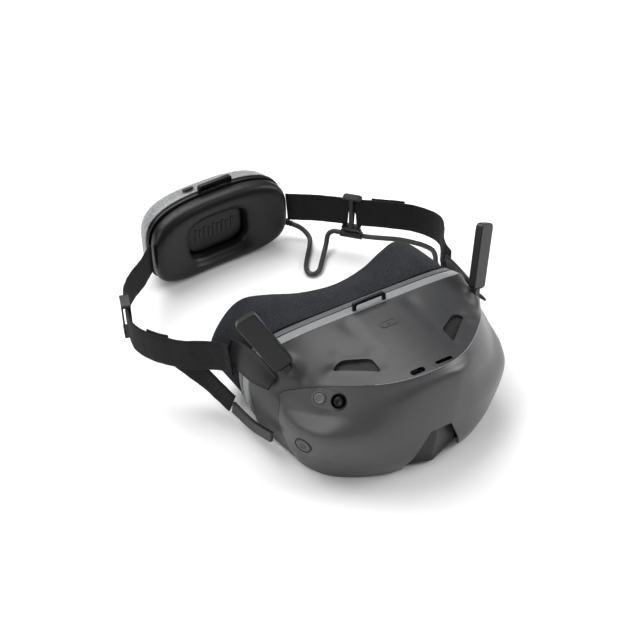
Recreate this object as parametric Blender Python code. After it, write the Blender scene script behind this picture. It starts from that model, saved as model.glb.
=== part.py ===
"""Head-worn video goggles for flying a drone: visor, face foam, head straps and rear battery pack.

All points are in millimetres in the goggles' own frame: -Y is out of the front of the visor, +X to
the right of a person who faces that front, and +Z up, with x = 0 on the visor's plane of symmetry
and z = 0 on the table.  ORIGIN moves that frame so that the world origin is the middle of the
bottom of the whole object's box.  "left" and "right" in a name are -X and +X.
"""
import math

import bmesh
import bpy
from mathutils import Matrix, Vector

MM = 0.001
GAP = 0.35                       # clearance between neighbouring pieces
ORIGIN = (6.56, -99.63, 0.0)     # place of the goggles' frame in the world

WALL = 2.2                       # moulded shells
STRAP_WIDTH = 25.0
STRAP_THICK = 1.6
CABLE_DIAMETER = 4.0
LENS_X, LENS_Y, LENS_Z, LENS_R = 32.0, 34.5, 42.0, 21.6
FAN_CENTRE = (0.0, -33.5, 53.5)
NOTCH_TOP_X, NOTCH_TOP_Z = 8.0, 39.8
NOTCH_FOOT_X, NOTCH_FOOT_Z = 22.3, 7.6
PACK_CENTRE = (-21.5, 211.5, 33.2)
PACK_TURN = math.radians(3.5)
PACK_BEND = 0.0018               # curve of the pack round the head, 1/mm

# Front shell, right half: rows from the top seam to the bottom edge, columns from the middle to the
# rear corner.  The left half is their mirror image.
SEAM = [(0, -41, 81), (14, -39.6, 80.2), (28, -34, 77.6), (42, -24.5, 74.2), (55, -13.2, 70.8),
        (66, -2, 66.3), (74, 8.2, 60), (78.6, 13.6, 56), (80.6, 15, 53)]
BROW = [(0, -47.5, 74), (15, -46.6, 72.8), (28, -43.4, 69), (41, -37, 63.8), (54, -28.2, 58.4),
        (65, -17.2, 53.8), (74.4, -4, 50.6), (80.2, 6.4, 49.2), (82.6, 11.4, 48)]
BULGE = [(0, -52, 46), (16, -51, 45), (32, -48.5, 43.6), (48, -42.5, 42.4), (62, -33.5, 41.2),
         (72.5, -23.6, 40.2), (80, -10.6, 39.2), (83.6, 0.6, 38.4), (84.8, 9.2, 37.6)]
LOWER = [(0, -50.2, 20), (16, -49.3, 19.2), (31, -46, 18.4), (46, -39.7, 17.8), (59.5, -30.5, 17.2),
         (69.8, -20, 17), (76.6, -8.4, 17), (80.2, -1, 17.6), (81.8, 6, 18)]
HEM = [(0, -45, 4.5), (16, -44, 4.5), (30, -40.6, 2.4), (44, -34.6, 1.2), (56.5, -27.4, 1),
       (66, -19.4, 1), (71.6, -10.4, 1), (74.2, -4, 1), (75.2, 1, 1)]
SHELL_ROWS = [SEAM, BROW, BULGE, LOWER, HEM]
SHELL_COLUMNS, SHELL_STEPS = 11, 9
SEAM_SHARE = 0.7                 # share of the housing's front edge that runs along the seam

# Housing behind the seam: its middle and rear edge, from the top middle round the side to the bottom.
HOUSING_MIDDLE = [(0, -5, 81.8), (26, -2.5, 80.0), (49.5, 5, 76.0), (69.5, 17.5, 70.5),
                  (79.3, 24.5, 62.6), (86.2, 30, 40), (80.5, 24.5, 2.2)]
HOUSING_REAR = [(0, 30.5, 81.2), (25, 30.5, 81.1), (48, 30.7, 80.6), (66, 31.5, 78.4),
                (78, 37, 70), (87, 45, 43), (83, 43.5, 3)]
# Trim ring: front and rear edges, closed along the bottom.
TRIM_FRONT = HOUSING_REAR[:6] + [(84, 44.2, 10), (62, 44, 3.6), (30, 44, 3.2), (0, 44, 3.2)]
TRIM_REAR = [(0, 46, 77.5), (25, 46, 77.4), (48, 46.4, 76.6), (65, 48, 73.8), (77, 53, 65.6),
             (86.4, 61, 41), (82.4, 58, 11), (61, 56.5, 5.2), (30, 56, 4.6), (0, 56, 4.6)]
# Face foam: rear ridge, inner rear and inner front loops, in the same order round the ring.
FOAM_RIDGE = [(0, 81, 65), (26, 85, 66), (47, 93, 68), (64, 99.5, 66.4), (79, 100, 55.4),
              (91.6, 96, 38.4), (86, 92, 20), (52, 88, 9.4), (24, 82, 11.5), (0, 76, 26)]
FOAM_EYE_REAR = [(0, 75, 48), (22, 78, 50), (42, 86, 51.6), (55, 90.5, 50), (64, 90.5, 44),
                 (66, 88, 36), (59, 86, 25), (41, 83, 20.4), (20, 79, 24), (0, 73, 37)]
FOAM_EYE_FRONT = [(0, 51, 54), (23, 51, 56), (43, 52, 56.6), (56, 53, 54), (63, 56, 46),
                  (65, 59, 36), (60, 57, 24), (43, 55, 18), (21, 53, 20), (0, 52, 33)]

LEFT_STRAP = [(-82.2, 209.4, 33.4), (-94.8, 196.0, 35.0), (-105.6, 186.6, 36.0), (-114.4, 178.0, 36.6),
              (-121.3, 167.4, 37.4), (-126.2, 153.0, 37.8), (-130.4, 138.0, 38.0), (-130.8, 127.0, 38.2),
              (-126.4, 114.6, 39.0), (-119.4, 102.4, 40.4), (-111.0, 90.0, 43.0), (-101.2, 78.2, 47.2),
              (-94.4, 69.2, 50.0), (-91.6, 61.2, 51.2)]
RIGHT_STRAP = [(38.9, 214.9, 33.6), (47.6, 207.4, 34.4), (58.4, 198.2, 35.2), (68.0, 188.6, 36.0),
               (77.0, 178.2, 37.0), (92.0, 163.0, 38.6), (107.2, 147.4, 39.8), (115.0, 135.6, 40.4),
               (118.2, 124.6, 41.4), (116.6, 114.0, 43.0), (110.4, 103.4, 45.2), (102.0, 92.6, 48.4),
               (95.4, 81.0, 50.8), (92.0, 69.0, 52.2)]
LEFT_LOWER_STRAP = [(-112.6, 98.6, 33.6), (-107.0, 90.0, 28.6), (-101.4, 81.4, 22.8), (-97.0, 70.4, 17.8), (-93.6, 59.4, 13.6)]
LOWER_STRAP_WIDTH = 20.0
LEFT_SLIDER_AT, RIGHT_SLIDER_AT = 5 / 13, 4 / 13
SLIDER_LENGTH, SLIDER_HEIGHT = 15.0, 30.0
CLIP_DROP = 21.8                 # from the right slider's middle down to the cable
CABLE_ROUTE = [(44.9, 217.0, 12.8), (49.8, 213.8, 9.8), (52.9, 208.6, 6.4), (52.6, 202.0, 3.8),
               (46.6, 193.0, 2.7), (39.0, 183.2, 2.6), (32.8, 174.4, 2.6), (30.6, 167.6, 2.6),
               (33.2, 163.6, 2.6), (39.0, 165.0, 2.6), (45.6, 172.2, 2.7), (52.2, 179.8, 3.8),
               (57.6, 185.2, 7.6), (62.4, 190.0, 12.6), (66.6, 189.2, 15.0), (70.2, 185.5, 15.2),
               (77.0, 178.2, 15.2), (83.8, 170.9, 15.2), (89.0, 165.0, 15.8), (94.6, 157.8, 17.4), (101.6, 148.0, 19.8), (107.2, 136.8, 22.2),
               (110.4, 126.6, 24.6), (110.8, 115.6, 27.2), (106.4, 105.6, 29.6), (100.6, 96.8, 31.6),
               (97.4, 88.0, 33.4), (96.2, 79.6, 34.2), (94.4, 71.6, 33.8)]
GLAND_ROOT = (37.9, 221.6, 16.6)
CABLE_SOCKET = (91.2, 60.6, 33.4)

ANTENNA_FOOT = (75.2, 17.2, 74.2)
ANTENNA_TIPS = {-1: (94.7, 32.8, 111.6), 1: (90.4, 33.2, 113.5)}    # left one as if mirrored
ANTENNA_FACE = (0.42, -0.81, 0.40)
ANTENNA_WIDTH, ANTENNA_THICK, HINGE_HEIGHT, STAND_HEIGHT = 15.0, 5.6, 6.0, 11.6
ANTENNA_SET_BACK, TONGUE_R = 0.6, 2.2
SHORTCUT_CENTRE, SHORTCUT_R = (-64.8, -9.1, 62.6), 3.6
JOYSTICK_CENTRE, JOYSTICK_R = (-56.8, -18.4, 63.2), 4.3
PANEL_NORMAL = (-0.55, -0.62, 0.56)
POWER_CENTRE, POWER_R, POWER_NORMAL = (-78.7, -11.3, 28.7), 5.6, (-0.88, -0.46, -0.10)
# Vents in the housing, and the height of its deck at their corners.
VENT = [(27.4, -22.6, 78.1), (27.2, -9.8, 79.2), (43.8, 1.2, 76.6), (51.6, -1.4, 73.4)]


# ---------------------------------------------------------------- geometry helpers
def curve(points, t, mirrored=False):
    """Point at t in 0..1 on the smooth curve through points; mirrored curves start on x = 0."""
    last = len(points) - 1
    s = min(max(t, 0.0), 1.0) * last
    k = min(int(s), last - 1)

    def at(i):
        if i < 0:
            if mirrored:
                return Vector((-points[1][0], points[1][1], points[1][2]))
            return 2 * Vector(points[0]) - Vector(points[1])
        if i > last:
            if mirrored and abs(points[last][0]) < 1e-6:
                return Vector((-points[last - 1][0], points[last - 1][1], points[last - 1][2]))
            return 2 * Vector(points[last]) - Vector(points[last - 1])
        return Vector(points[i])

    a, b, c, d = at(k - 1), at(k), at(k + 1), at(k + 2)
    f = s - k
    return (b * 2 + (c - a) * f + (a * 2 - b * 5 + c * 4 - d) * f * f
            + (b * 3 - a - c * 3 + d) * f ** 3) * 0.5


def mirror(p):
    return Vector((-p[0], p[1], p[2]))


def inward(p):
    """Direction from the outside of the visor towards its inner spine."""
    return (Vector((0.45 * p[0], 14.0, 38.0)) - Vector(p)).normalized()


def shell_point(u, v):
    """Front shell's outer face, right half: u from the middle to the corner, v from seam to hem."""
    return curve([curve(row, u, True) for row in SHELL_ROWS], v)


def notch_height(x):
    """Height of the notch's upper edge at x, or below the shell outside the notch."""
    if abs(x) > NOTCH_FOOT_X:
        return -1.0
    if abs(x) <= NOTCH_TOP_X:
        return NOTCH_TOP_Z
    share = (abs(x) - NOTCH_TOP_X) / (NOTCH_FOOT_X - NOTCH_TOP_X)
    return NOTCH_TOP_Z + share * (NOTCH_FOOT_Z - NOTCH_TOP_Z)


def hem_v(u):
    """Value of v where the shell ends: the hem, or the edge of the notch."""
    end = shell_point(u, 1.0)
    if abs(end.x) > NOTCH_FOOT_X:
        return 1.0
    low, high = 0.3, 1.0
    for _ in range(30):
        v = (low + high) / 2
        p = shell_point(u, v)
        if p.z > notch_height(min(abs(p.x), NOTCH_FOOT_X)):
            low = v
        else:
            high = v
    return low


def u_at_x(x, v):
    low, high = 0.0, 1.0
    for _ in range(30):
        mid = (low + high) / 2
        if shell_point(mid, v).x < x:
            low = mid
        else:
            high = mid
    return low


def front_edge(q):
    """Edge shared by shell and housing: along the seam, then down the shell's rear corner."""
    if q < SEAM_SHARE:
        return shell_point(q / SEAM_SHARE, 0.0)
    return shell_point(1.0, (q - SEAM_SHARE) / (1 - SEAM_SHARE))


def housing_point(q, w):
    """Housing's outer face: q from the top middle round the side to the bottom, w front to rear."""
    front = front_edge(q)
    middle = curve(HOUSING_MIDDLE, q, True)
    rear = curve(HOUSING_REAR, q, True)
    front += (middle - front).normalized() * GAP
    return curve([front, middle, rear], w)


def new_object(name, vertices, faces, look, pivot=None, smooth=35.0, parent=None):
    """One closed body from points in the goggles' frame, with its origin at the pivot."""
    base = Vector(pivot) if pivot is not None else Vector((0, 0, 0))
    mesh = bpy.data.meshes.new(name)
    mesh.from_pydata([(Vector(v) - base) * MM for v in vertices], [], faces)
    bm = bmesh.new()
    bm.from_mesh(mesh)
    bmesh.ops.recalc_face_normals(bm, faces=bm.faces)
    if bm.calc_volume(signed=True) < 0:
        bmesh.ops.reverse_faces(bm, faces=bm.faces)
    bm.to_mesh(mesh)
    bm.free()
    mesh.shade_smooth()
    mesh.set_sharp_from_angle(angle=math.radians(smooth))
    obj = bpy.data.objects.new(name, mesh)
    bpy.context.collection.objects.link(obj)
    obj.parent = parent or goggles
    obj.location = base * MM
    if look:
        mesh.materials.append(look)
    return obj


def grid_body(name, grid, look, around=False, along=False, **options):
    """Closed body from a grid of points: each row is a loop, and rows are capped or cyclic."""
    rows, columns = len(grid), len(grid[0])
    vertices = [p for row in grid for p in row]
    faces = []
    for i in range(rows if along else rows - 1):
        for j in range(columns if around else columns - 1):
            i2, j2 = (i + 1) % rows, (j + 1) % columns
            faces.append((i * columns + j, i2 * columns + j, i2 * columns + j2, i * columns + j2))
    if not along:
        faces.append(tuple(range(columns)))
        faces.append(tuple((rows - 1) * columns + j for j in range(columns))[::-1])
    return new_object(name, vertices, faces, look, **options)


def sheet_body(name, outer, inner, look, **options):
    """Closed body between an outer and an inner grid of the same size, with rims all round."""
    rows, columns = len(outer), len(outer[0])
    vertices = [p for grid in (outer, inner) for row in grid for p in row]
    offset = rows * columns
    faces = []
    for i in range(rows - 1):
        for j in range(columns - 1):
            quad = [i * columns + j, i * columns + j + 1, (i + 1) * columns + j + 1, (i + 1) * columns + j]
            faces.append(tuple(quad))
            faces.append(tuple(k + offset for k in reversed(quad)))
    rim = [j for j in range(columns)]
    rim += [i * columns + columns - 1 for i in range(1, rows)]
    rim += [(rows - 1) * columns + j for j in range(columns - 2, -1, -1)]
    rim += [i * columns for i in range(rows - 2, 0, -1)]
    for a, b in zip(rim, rim[1:] + rim[:1]):
        faces.append((b, a, a + offset, b + offset))
    return new_object(name, vertices, faces, look, **options)


def frame_of(normal, along=(0, 0, 1)):
    """Local axes (across, along, normal) as columns of a rotation."""
    n = Vector(normal).normalized()
    a = Vector(along) - n * Vector(along).dot(n)
    a.normalize()
    return Matrix((a.cross(n), a, n)).transposed()


def prism(name, outline, low, high, look, centre=(0, 0, 0), axes=None, **options):
    """Outline in the local across/along plane, extruded along the local normal from low to high."""
    axes = axes or Matrix.Identity(3)
    grid = [[Vector(centre) + axes @ Vector((x, y, h)) for x, y in outline] for h in (low, high)]
    return grid_body(name, grid, look, around=True, **options)


def turned(name, profile, look, centre, axes, sides=24, **options):
    """Profile of (radius, height) pairs turned about the local normal; radius 0 ends are points."""
    vertices, faces, rings = [], [], []
    for radius, height in profile:
        if radius < 1e-6:
            rings.append([len(vertices)])
            vertices.append(Vector(centre) + axes @ Vector((0, 0, height)))
            continue
        rings.append(list(range(len(vertices), len(vertices) + sides)))
        for k in range(sides):
            a = 2 * math.pi * k / sides
            spot = Vector((radius * math.cos(a), radius * math.sin(a), height))
            vertices.append(Vector(centre) + axes @ spot)
    closed = profile[0][0] > 0 and profile[-1][0] > 0
    pairs = list(zip(rings, rings[1:]))
    if closed:
        pairs.append((rings[-1], rings[0]))
    for low, high in pairs:
        for k in range(sides):
            k2 = (k + 1) % sides
            if len(low) == 1:
                faces.append((low[0], high[k2], high[k]))
            elif len(high) == 1:
                faces.append((low[k], low[k2], high[0]))
            else:
                faces.append((low[k], low[k2], high[k2], high[k]))
    return new_object(name, vertices, faces, look, **options)


def disc(radius, sides=24, middle=(0.0, 0.0)):
    return [(middle[0] + radius * math.cos(2 * math.pi * k / sides),
             middle[1] + radius * math.sin(2 * math.pi * k / sides)) for k in range(sides)]


def rounded(width, height, radius, steps=4, middle=(0.0, 0.0)):
    """Rectangle outline with round corners."""
    points = []
    for corner in range(4):
        cx = (width / 2 - radius) * (1 if corner in (0, 3) else -1)
        cy = (height / 2 - radius) * (1 if corner in (0, 1) else -1)
        for k in range(steps + 1):
            a = math.pi / 2 * (corner + k / steps)
            points.append((middle[0] + cx + radius * math.cos(a), middle[1] + cy + radius * math.sin(a)))
    return points


def squircle(half_width, half_height, sides, power=3.4):
    """Superellipse outline, as flat sided and round cornered as its power says."""
    points = []
    for k in range(sides):
        a = 2 * math.pi * (k + 0.5) / sides
        c, s = math.cos(a), math.sin(a)
        points.append((math.copysign(half_width * abs(c) ** (2 / power), c),
                       math.copysign(half_height * abs(s) ** (2 / power), s)))
    return points


def box_points(x0, x1, y0, y1):
    return [(x0, y0), (x1, y0), (x1, y1), (x0, y1)]


def cut(target, cutter):
    """Subtract a hidden cutter from the target."""
    cutter.hide_render = True
    cutter.display_type = "WIRE"
    change = target.modifiers.new(cutter.name, "BOOLEAN")
    change.operation = "DIFFERENCE"
    change.object = cutter


def join(target, tool):
    """Add a hidden tool's shape to the target."""
    cut(target, tool)
    target.modifiers[tool.name].operation = "UNION"


def look(name, colour, roughness, metallic=0.0):
    material = bpy.data.materials.new(name)
    material.use_nodes = True
    surface = material.node_tree.nodes["Principled BSDF"]
    surface.inputs["Base Color"].default_value = (*colour, 1.0)
    surface.inputs["Roughness"].default_value = roughness
    surface.inputs["Metallic"].default_value = metallic
    material.diffuse_color = (*colour, 1.0)
    return material


def sided(name, side):
    return f"{name}_{'left' if side < 0 else 'right'}"


# ---------------------------------------------------------------- visor
def shell_stations():
    """Columns of the shell's right half, with one at each corner of the notch."""
    foot_u = u_at_x(NOTCH_FOOT_X, 0.97)
    top_u = u_at_x(NOTCH_TOP_X, 0.45)
    stations = [0.0, top_u / 2, top_u, (top_u + foot_u) / 2, foot_u - 0.002, foot_u + 0.004]
    return stations + [foot_u + (1 - foot_u) * (k / SHELL_COLUMNS) for k in range(1, SHELL_COLUMNS + 1)]


def make_front_shell():
    steps = SHELL_STEPS
    right = [[shell_point(u, hem_v(u) * k / steps) for k in range(steps + 1)] for u in shell_stations()]
    outer = [[mirror(p) for p in column] for column in reversed(right[1:])] + right
    inner = [[p + inward(p) * WALL for p in column] for column in outer]
    shell = sheet_body("front_shell", outer, inner, grey, smooth=45)
    panel = frame_of(PANEL_NORMAL, along=Vector(JOYSTICK_CENTRE) - Vector(SHORTCUT_CENTRE))
    centre = (Vector(SHORTCUT_CENTRE) + Vector(JOYSTICK_CENTRE)) / 2
    cut(shell, prism("panel_cutter", rounded(13.0, 23.6, 6.2), -8, 8, None, centre, panel))
    cut(shell, prism("power_cutter", disc(POWER_R + 0.5), -8, 8, None, POWER_CENTRE, frame_of(POWER_NORMAL)))
    return panel, centre


def make_nose_panel():
    """Panel set back in the notch, with a shallow ridge down its middle."""
    rows = []
    for k in range(7):
        z = 42.0 - k * 6.7
        width = NOTCH_TOP_X + (NOTCH_TOP_Z - z) / (NOTCH_TOP_Z - NOTCH_FOOT_Z) * (NOTCH_FOOT_X - NOTCH_TOP_X)
        width = min(max(width, NOTCH_TOP_X), NOTCH_FOOT_X)
        v = min(0.5 + 0.5 * (46 - z) / 42, 0.96)
        rim, ridge = shell_point(u_at_x(width, v), v), shell_point(0.0, v)
        prow, side = ridge.y + 0.3 + max(z, 0.0) / 11.4, rim.y + 7.0
        rows.append([Vector((s * (width + 1.6) / 2, prow + (side - prow) * abs(s) / 2, z)) for s in (-2, -1, 0, 1, 2)])
    back = [[p + Vector((0, 1.6, 0)) for p in row] for row in rows]
    sheet_body("nose_panel", rows, back, dark)


def make_housing():
    stations = [SEAM_SHARE * u for u in shell_stations()]
    stations += [SEAM_SHARE + (1 - SEAM_SHARE) * k / SHELL_STEPS for k in range(1, SHELL_STEPS)] + [0.985]
    steps = 6
    right = [[housing_point(q, k / steps) for k in range(steps + 1)] for q in stations]
    outer = [[mirror(p) for p in column] for column in reversed(right[1:])] + right
    inner = [[p + inward(p) * WALL for p in column] for column in outer]
    housing = sheet_body("top_housing", outer, inner, grey, smooth=45)
    for side in (-1, 1):
        outline = [(side * x, y) for x, y, _ in VENT]
        cut(housing, prism(sided("vent_cutter", side), outline, 60, 90, None))
        middle = sum((Vector(p) for p in VENT), Vector()) / 4
        top = []
        for p in VENT:
            inset = middle + (Vector(p) - middle) * 0.93
            top.append(Vector((side * inset.x, inset.y, inset.z - 1.6)))
        grid_body(sided("vent_mesh", side), [[p - Vector((0, 0, 1.0)) for p in top], top], black, around=True)
    deck = frame_of((0, -0.45, 0.89), along=(0, 1, 0))
    cut(housing, prism("usb_cutter", rounded(10.4, 4.2, 1.8), -6, 6, None, (-9.5, -34.4, 77.8), deck))
    cut(housing, prism("card_cutter", rounded(13.4, 2.8, 1.0), -6, 6, None, (10.5, -34.4, 77.8), deck))
    port = prism("usb_port", rounded(9.4, 3.4, 1.5), -8, -0.8, steel, (-9.5, -34.4, 77.8), deck)
    cut(port, prism("usb_mouth", rounded(8.2, 2.3, 1.0), -6, 2, None, (-9.5, -34.4, 77.8), deck))
    reader = prism("card_reader", rounded(12.6, 2.2, 0.6), -9, -0.8, black, (10.5, -34.4, 77.8), deck)
    cut(reader, prism("card_mouth", rounded(11.2, 1.0, 0.3), -8, 2, None, (10.5, -34.4, 77.8), deck))


def make_bottom_cover():
    """Flat underside between the shell's hem, the housing's sides and the trim."""
    outline = []
    for k in range(13):
        p = curve(HEM, k / 12, True)
        outline.append((p.x * 0.955, p.y * 0.93 if p.y < 0 else p.y))
    outline[0] = (0.0, -18.0)
    outline[1] = (6.0, -18.0)
    outline[2] = (19.0, -23.0)
    outline += [(77.2, 24.0), (78.4, 41.0)]
    full = outline + [(-x, y) for x, y in reversed(outline[1:])]
    grid = [[Vector((x, y, z)) for x, y in full] for z in (0.0, 2.6)]
    cover = grid_body("bottom_cover", grid, dark, around=True, smooth=20)
    for side in (-1, 1):
        sunk = prism(sided("screw_seat", side), disc(2.9, 16), -1, 1.2, None, (side * 48, 12, 0))
        cut(cover, sunk)
        prism(sided("screw", side), disc(2.4, 16), 0.3, 0.95, steel, (side * 48, 12, 0))
    return cover


def ring_loop(half, steps):
    """Closed loop of points from a right half that starts and ends on x = 0."""
    right = [curve(half, k / steps, True) for k in range(steps + 1)]
    left = [mirror(p) for p in reversed(right[1:-1])]
    return right + left


def make_trim():
    steps = 16
    front = [p + Vector((0, 0.9, 0)) for p in ring_loop(TRIM_FRONT, steps)]
    rear = ring_loop(TRIM_REAR, steps)
    grid = []
    for a, b in zip(front, rear):
        grid.append([a, (a + b) / 2 + Vector((0, 0, 0.4 if a.z > 60 else 0.0)), b,
                     b + inward(b) * 3.0, a + inward(a) * 3.0])
    grid_body("rear_trim", grid, silver, around=True, along=True, smooth=25)


def make_foam():
    steps = 16
    front = [p + Vector((0, 0.8, 0)) + inward(p) * 1.2 for p in ring_loop(TRIM_REAR, steps)]
    ridge = ring_loop(FOAM_RIDGE, steps)
    eye_rear = ring_loop(FOAM_EYE_REAR, steps)
    eye_front = ring_loop(FOAM_EYE_FRONT, steps)
    grid = []
    for a, b, c, d in zip(front, ridge, eye_rear, eye_front):
        back = (b + c) / 2 + Vector((0, 1.5, 0))
        grid.append([a, a.lerp(b, 0.5) + Vector((0, 0, 0.6 if a.z > 50 else 0)), b, back, c, d])
    grid_body("face_foam", grid, knit, around=True, along=True, smooth=60)


def make_face_plate():
    facing = frame_of((0, 1, 0))
    outline = squircle(68, 28, 40, 4.0)
    plate = prism("face_plate", outline, 0, 2.0, dark, (0, 40.2, 41.0), facing)
    for side in (-1, 1):
        centre = (side * LENS_X, LENS_Y, LENS_Z)
        hole = prism(sided("lens_hole", side), disc(LENS_R - 1.0, 32), -3, 12, None, centre, facing)
        cut(plate, hole)
        bulge = [(0, -4.6), (9, -4.0), (17, -2.4), (LENS_R, -0.9),
                 (LENS_R, 0.9), (17, 2.4), (9, 4.0), (0, 4.6)]
        turned(sided("lens", side), bulge, glass, centre, facing, sides=28, smooth=30)
        tube = [(24.0, -30), (24.0, 5.2), (LENS_R + GAP, 5.2), (LENS_R + GAP, -30)]
        turned(sided("lens_barrel", side), tube, dark, centre, facing, sides=28, smooth=30)


def make_electronics():
    back = frame_of((0, 1, 0))
    prism("display_panel", rounded(84, 48, 2), 0, 3.0, glass, (0, -6.0, LENS_Z), back)
    frame = prism("display_bracket", rounded(90, 52, 5), 0, 5.0, dark, (0, -7.0, LENS_Z), back)
    cut(frame, prism("bracket_window", rounded(84.8, 48.8, 2.2), -1, 9, None, (0, -7.0, LENS_Z), back))
    board = prism("main_board", rounded(80, 44, 2), 0, 1.6, circuit, (0, -14.0, 44.0), back)
    for k, (x, z, w, h, t) in enumerate([(-22, 6, 14, 14, 2.4), (4, 8, 18, 14, 2.0), (26, -4, 10, 16, 1.8)]):
        join(board, prism(f"chip_{k}", rounded(w, h, 0.4, 1, (-x, z)), -t, 0.4, None, (0, -14.0, 44.0), back))
    fins = [(-22, 0), (22, 0), (22, 8)]
    for k in range(6):
        x = 20 - k * 6.6
        fins += [(x, 8), (x, 2), (x - 2.4, 2), (x - 2.4, 8)]
    fins += [(-22, 8)]
    prism("heat_sink", [(x, -17.0 - y) for x, y in fins], 47, 70, aluminium, (0, 0, 0), Matrix.Identity(3))
    forward = frame_of((0, -1, 0))
    housing = prism("fan_housing", rounded(28, 28, 3), -4, 4, black, FAN_CENTRE, forward)
    cut(housing, prism("fan_throat", disc(12.4, 28), -5, 5, None, FAN_CENTRE, forward))
    blades = []
    count = 7
    for k in range(count):
        a = 2 * math.pi * k / count
        for da, r in ((0.0, 4.6), (0.10, 11.6), (0.36, 11.6), (0.46, 4.6)):
            blades.append((r * math.cos(a + da), r * math.sin(a + da)))
    prism("fan_rotor", blades, -3, 3, black, FAN_CENTRE, forward, pivot=FAN_CENTRE)


def make_top_loop():
    outline = [(-12.8, 0), (-12.8, 4.2), (-10.6, 6.4), (10.6, 6.4), (12.8, 4.2), (12.8, 0),
               (10.4, 0), (10.4, 3.4), (9.6, 4.2), (-9.6, 4.2), (-10.4, 3.4), (-10.4, 0)]
    standing = frame_of((0, 0.99, -0.12), along=(0, 0.12, 0.99))
    prism("top_strap_loop", outline, -1.1, 1.1, black, (-1.2, 33.6, 81.2), standing)


# ---------------------------------------------------------------- controls
def make_controls(panel, centre):
    bezel = prism("button_bezel", rounded(12.2, 22.8, 5.8), -1.2, 0.9, silver, centre, panel)
    for name, place, radius in (("shortcut", SHORTCUT_CENTRE, SHORTCUT_R),
                                ("joystick", JOYSTICK_CENTRE, JOYSTICK_R)):
        shift = panel.transposed() @ (Vector(place) - centre)
        well = disc(radius + GAP, 24, (shift.x, shift.y))
        cut(bezel, prism(f"{name}_well", well, -3, 3, None, centre, panel))
    normal = panel @ Vector((0, 0, 1))
    button = [(0, -2.2), (SHORTCUT_R, -2.2), (SHORTCUT_R, 1.1), (SHORTCUT_R - 0.7, 1.7), (0, 1.9)]
    on_panel = Vector(SHORTCUT_CENTRE) - normal * (Vector(SHORTCUT_CENTRE) - centre).dot(normal)
    turned("shortcut_button", button, dark, on_panel, panel, pivot=on_panel)
    stick = Vector(JOYSTICK_CENTRE) - normal * (Vector(JOYSTICK_CENTRE) - centre).dot(normal)
    under = stick - normal * 6.0
    cap = [(0, 2.4), (2.6, 2.4), (2.6, 4.6), (3.4, 5.2), (3.4, 7.4), (2.9, 8.0), (2.0, 7.7), (0, 7.4)]
    turned("joystick_cap", cap, dark, under, panel, pivot=under)
    ring = [(1.9, -1.2), (2.9, -1.2), (2.9, 1.2), (1.9, 1.2)]
    turned("joystick_ring", ring, black, under, panel, pivot=under)
    side = frame_of(POWER_NORMAL)
    key = [(0, -2.0), (POWER_R, -2.0), (POWER_R, 0.4), (POWER_R - 0.6, 0.9), (0, 0.7)]
    turned("power_button", key, dark, POWER_CENTRE, side, pivot=POWER_CENTRE)


def make_antenna(side):
    """Folding aerial: a pocket in the back of the blade straddles a tongue and turns on a pin."""
    foot, tip = Vector(ANTENNA_FOOT), Vector(ANTENNA_TIPS[side])
    up = (tip - foot).normalized()
    face = Vector(ANTENNA_FACE)
    across = up.cross(face).normalized()
    face = across.cross(up)
    if side < 0:
        foot, up, face, across = mirror(foot), mirror(up), mirror(face), -mirror(across)
    axes = Matrix((across, up, face)).transposed()
    pivot = foot + up * HINGE_HEIGHT - face * ANTENNA_SET_BACK
    half, length = ANTENNA_WIDTH / 2, (tip - Vector(ANTENNA_FOOT)).length - HINGE_HEIGHT
    slot, deep, base = 2.8, 3.6, 0.2 - HINGE_HEIGHT
    outline = []
    for k in range(7):
        a = math.pi * k / 6
        outline.append((half * math.cos(a), length - 4.0 + 4.0 * math.sin(a)))
    outline += [(-half, base + 2.4), (-half + 0.7, base + 0.7), (-half + 2.4, base),
                (half - 2.4, base), (half - 0.7, base + 0.7), (half, base + 2.4)]
    low, high = ANTENNA_SET_BACK - ANTENNA_THICK / 2, ANTENNA_SET_BACK + ANTENNA_THICK / 2
    blade = prism(sided("antenna", side), outline, low, high, dark, pivot, axes, pivot=pivot)
    pocket = [(-slot - 0.4, base - 2), (slot + 0.4, base - 2), (slot + 0.4, deep), (-slot - 0.4, deep)]
    cut(blade, prism(sided("blade_pocket", side), pocket, low - 2, TONGUE_R + 0.3, None, pivot, axes, pivot=pivot))
    turning = Matrix((up, face, across)).transposed()
    bore = prism(sided("blade_bore", side), disc(1.6, 16), 1 - half, half - 1, None, pivot, turning, pivot=pivot)
    cut(blade, bore)
    tongue = [(TONGUE_R * math.cos(a), TONGUE_R * math.sin(a)) for a in
              (math.pi * (-0.5 + k / 8) for k in range(9))]
    tongue += [(-STAND_HEIGHT, TONGUE_R), (-STAND_HEIGHT, -TONGUE_R)]
    stand = prism(sided("antenna_stand", side), tongue, -slot, slot, dark, pivot, turning)
    cut(stand, prism(sided("stand_bore", side), disc(1.6, 16), -20, 20, None, pivot, turning))
    prism(sided("antenna_pin", side), disc(1.25, 16), 1.4 - half, half - 1.4, steel, pivot, turning)


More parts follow.
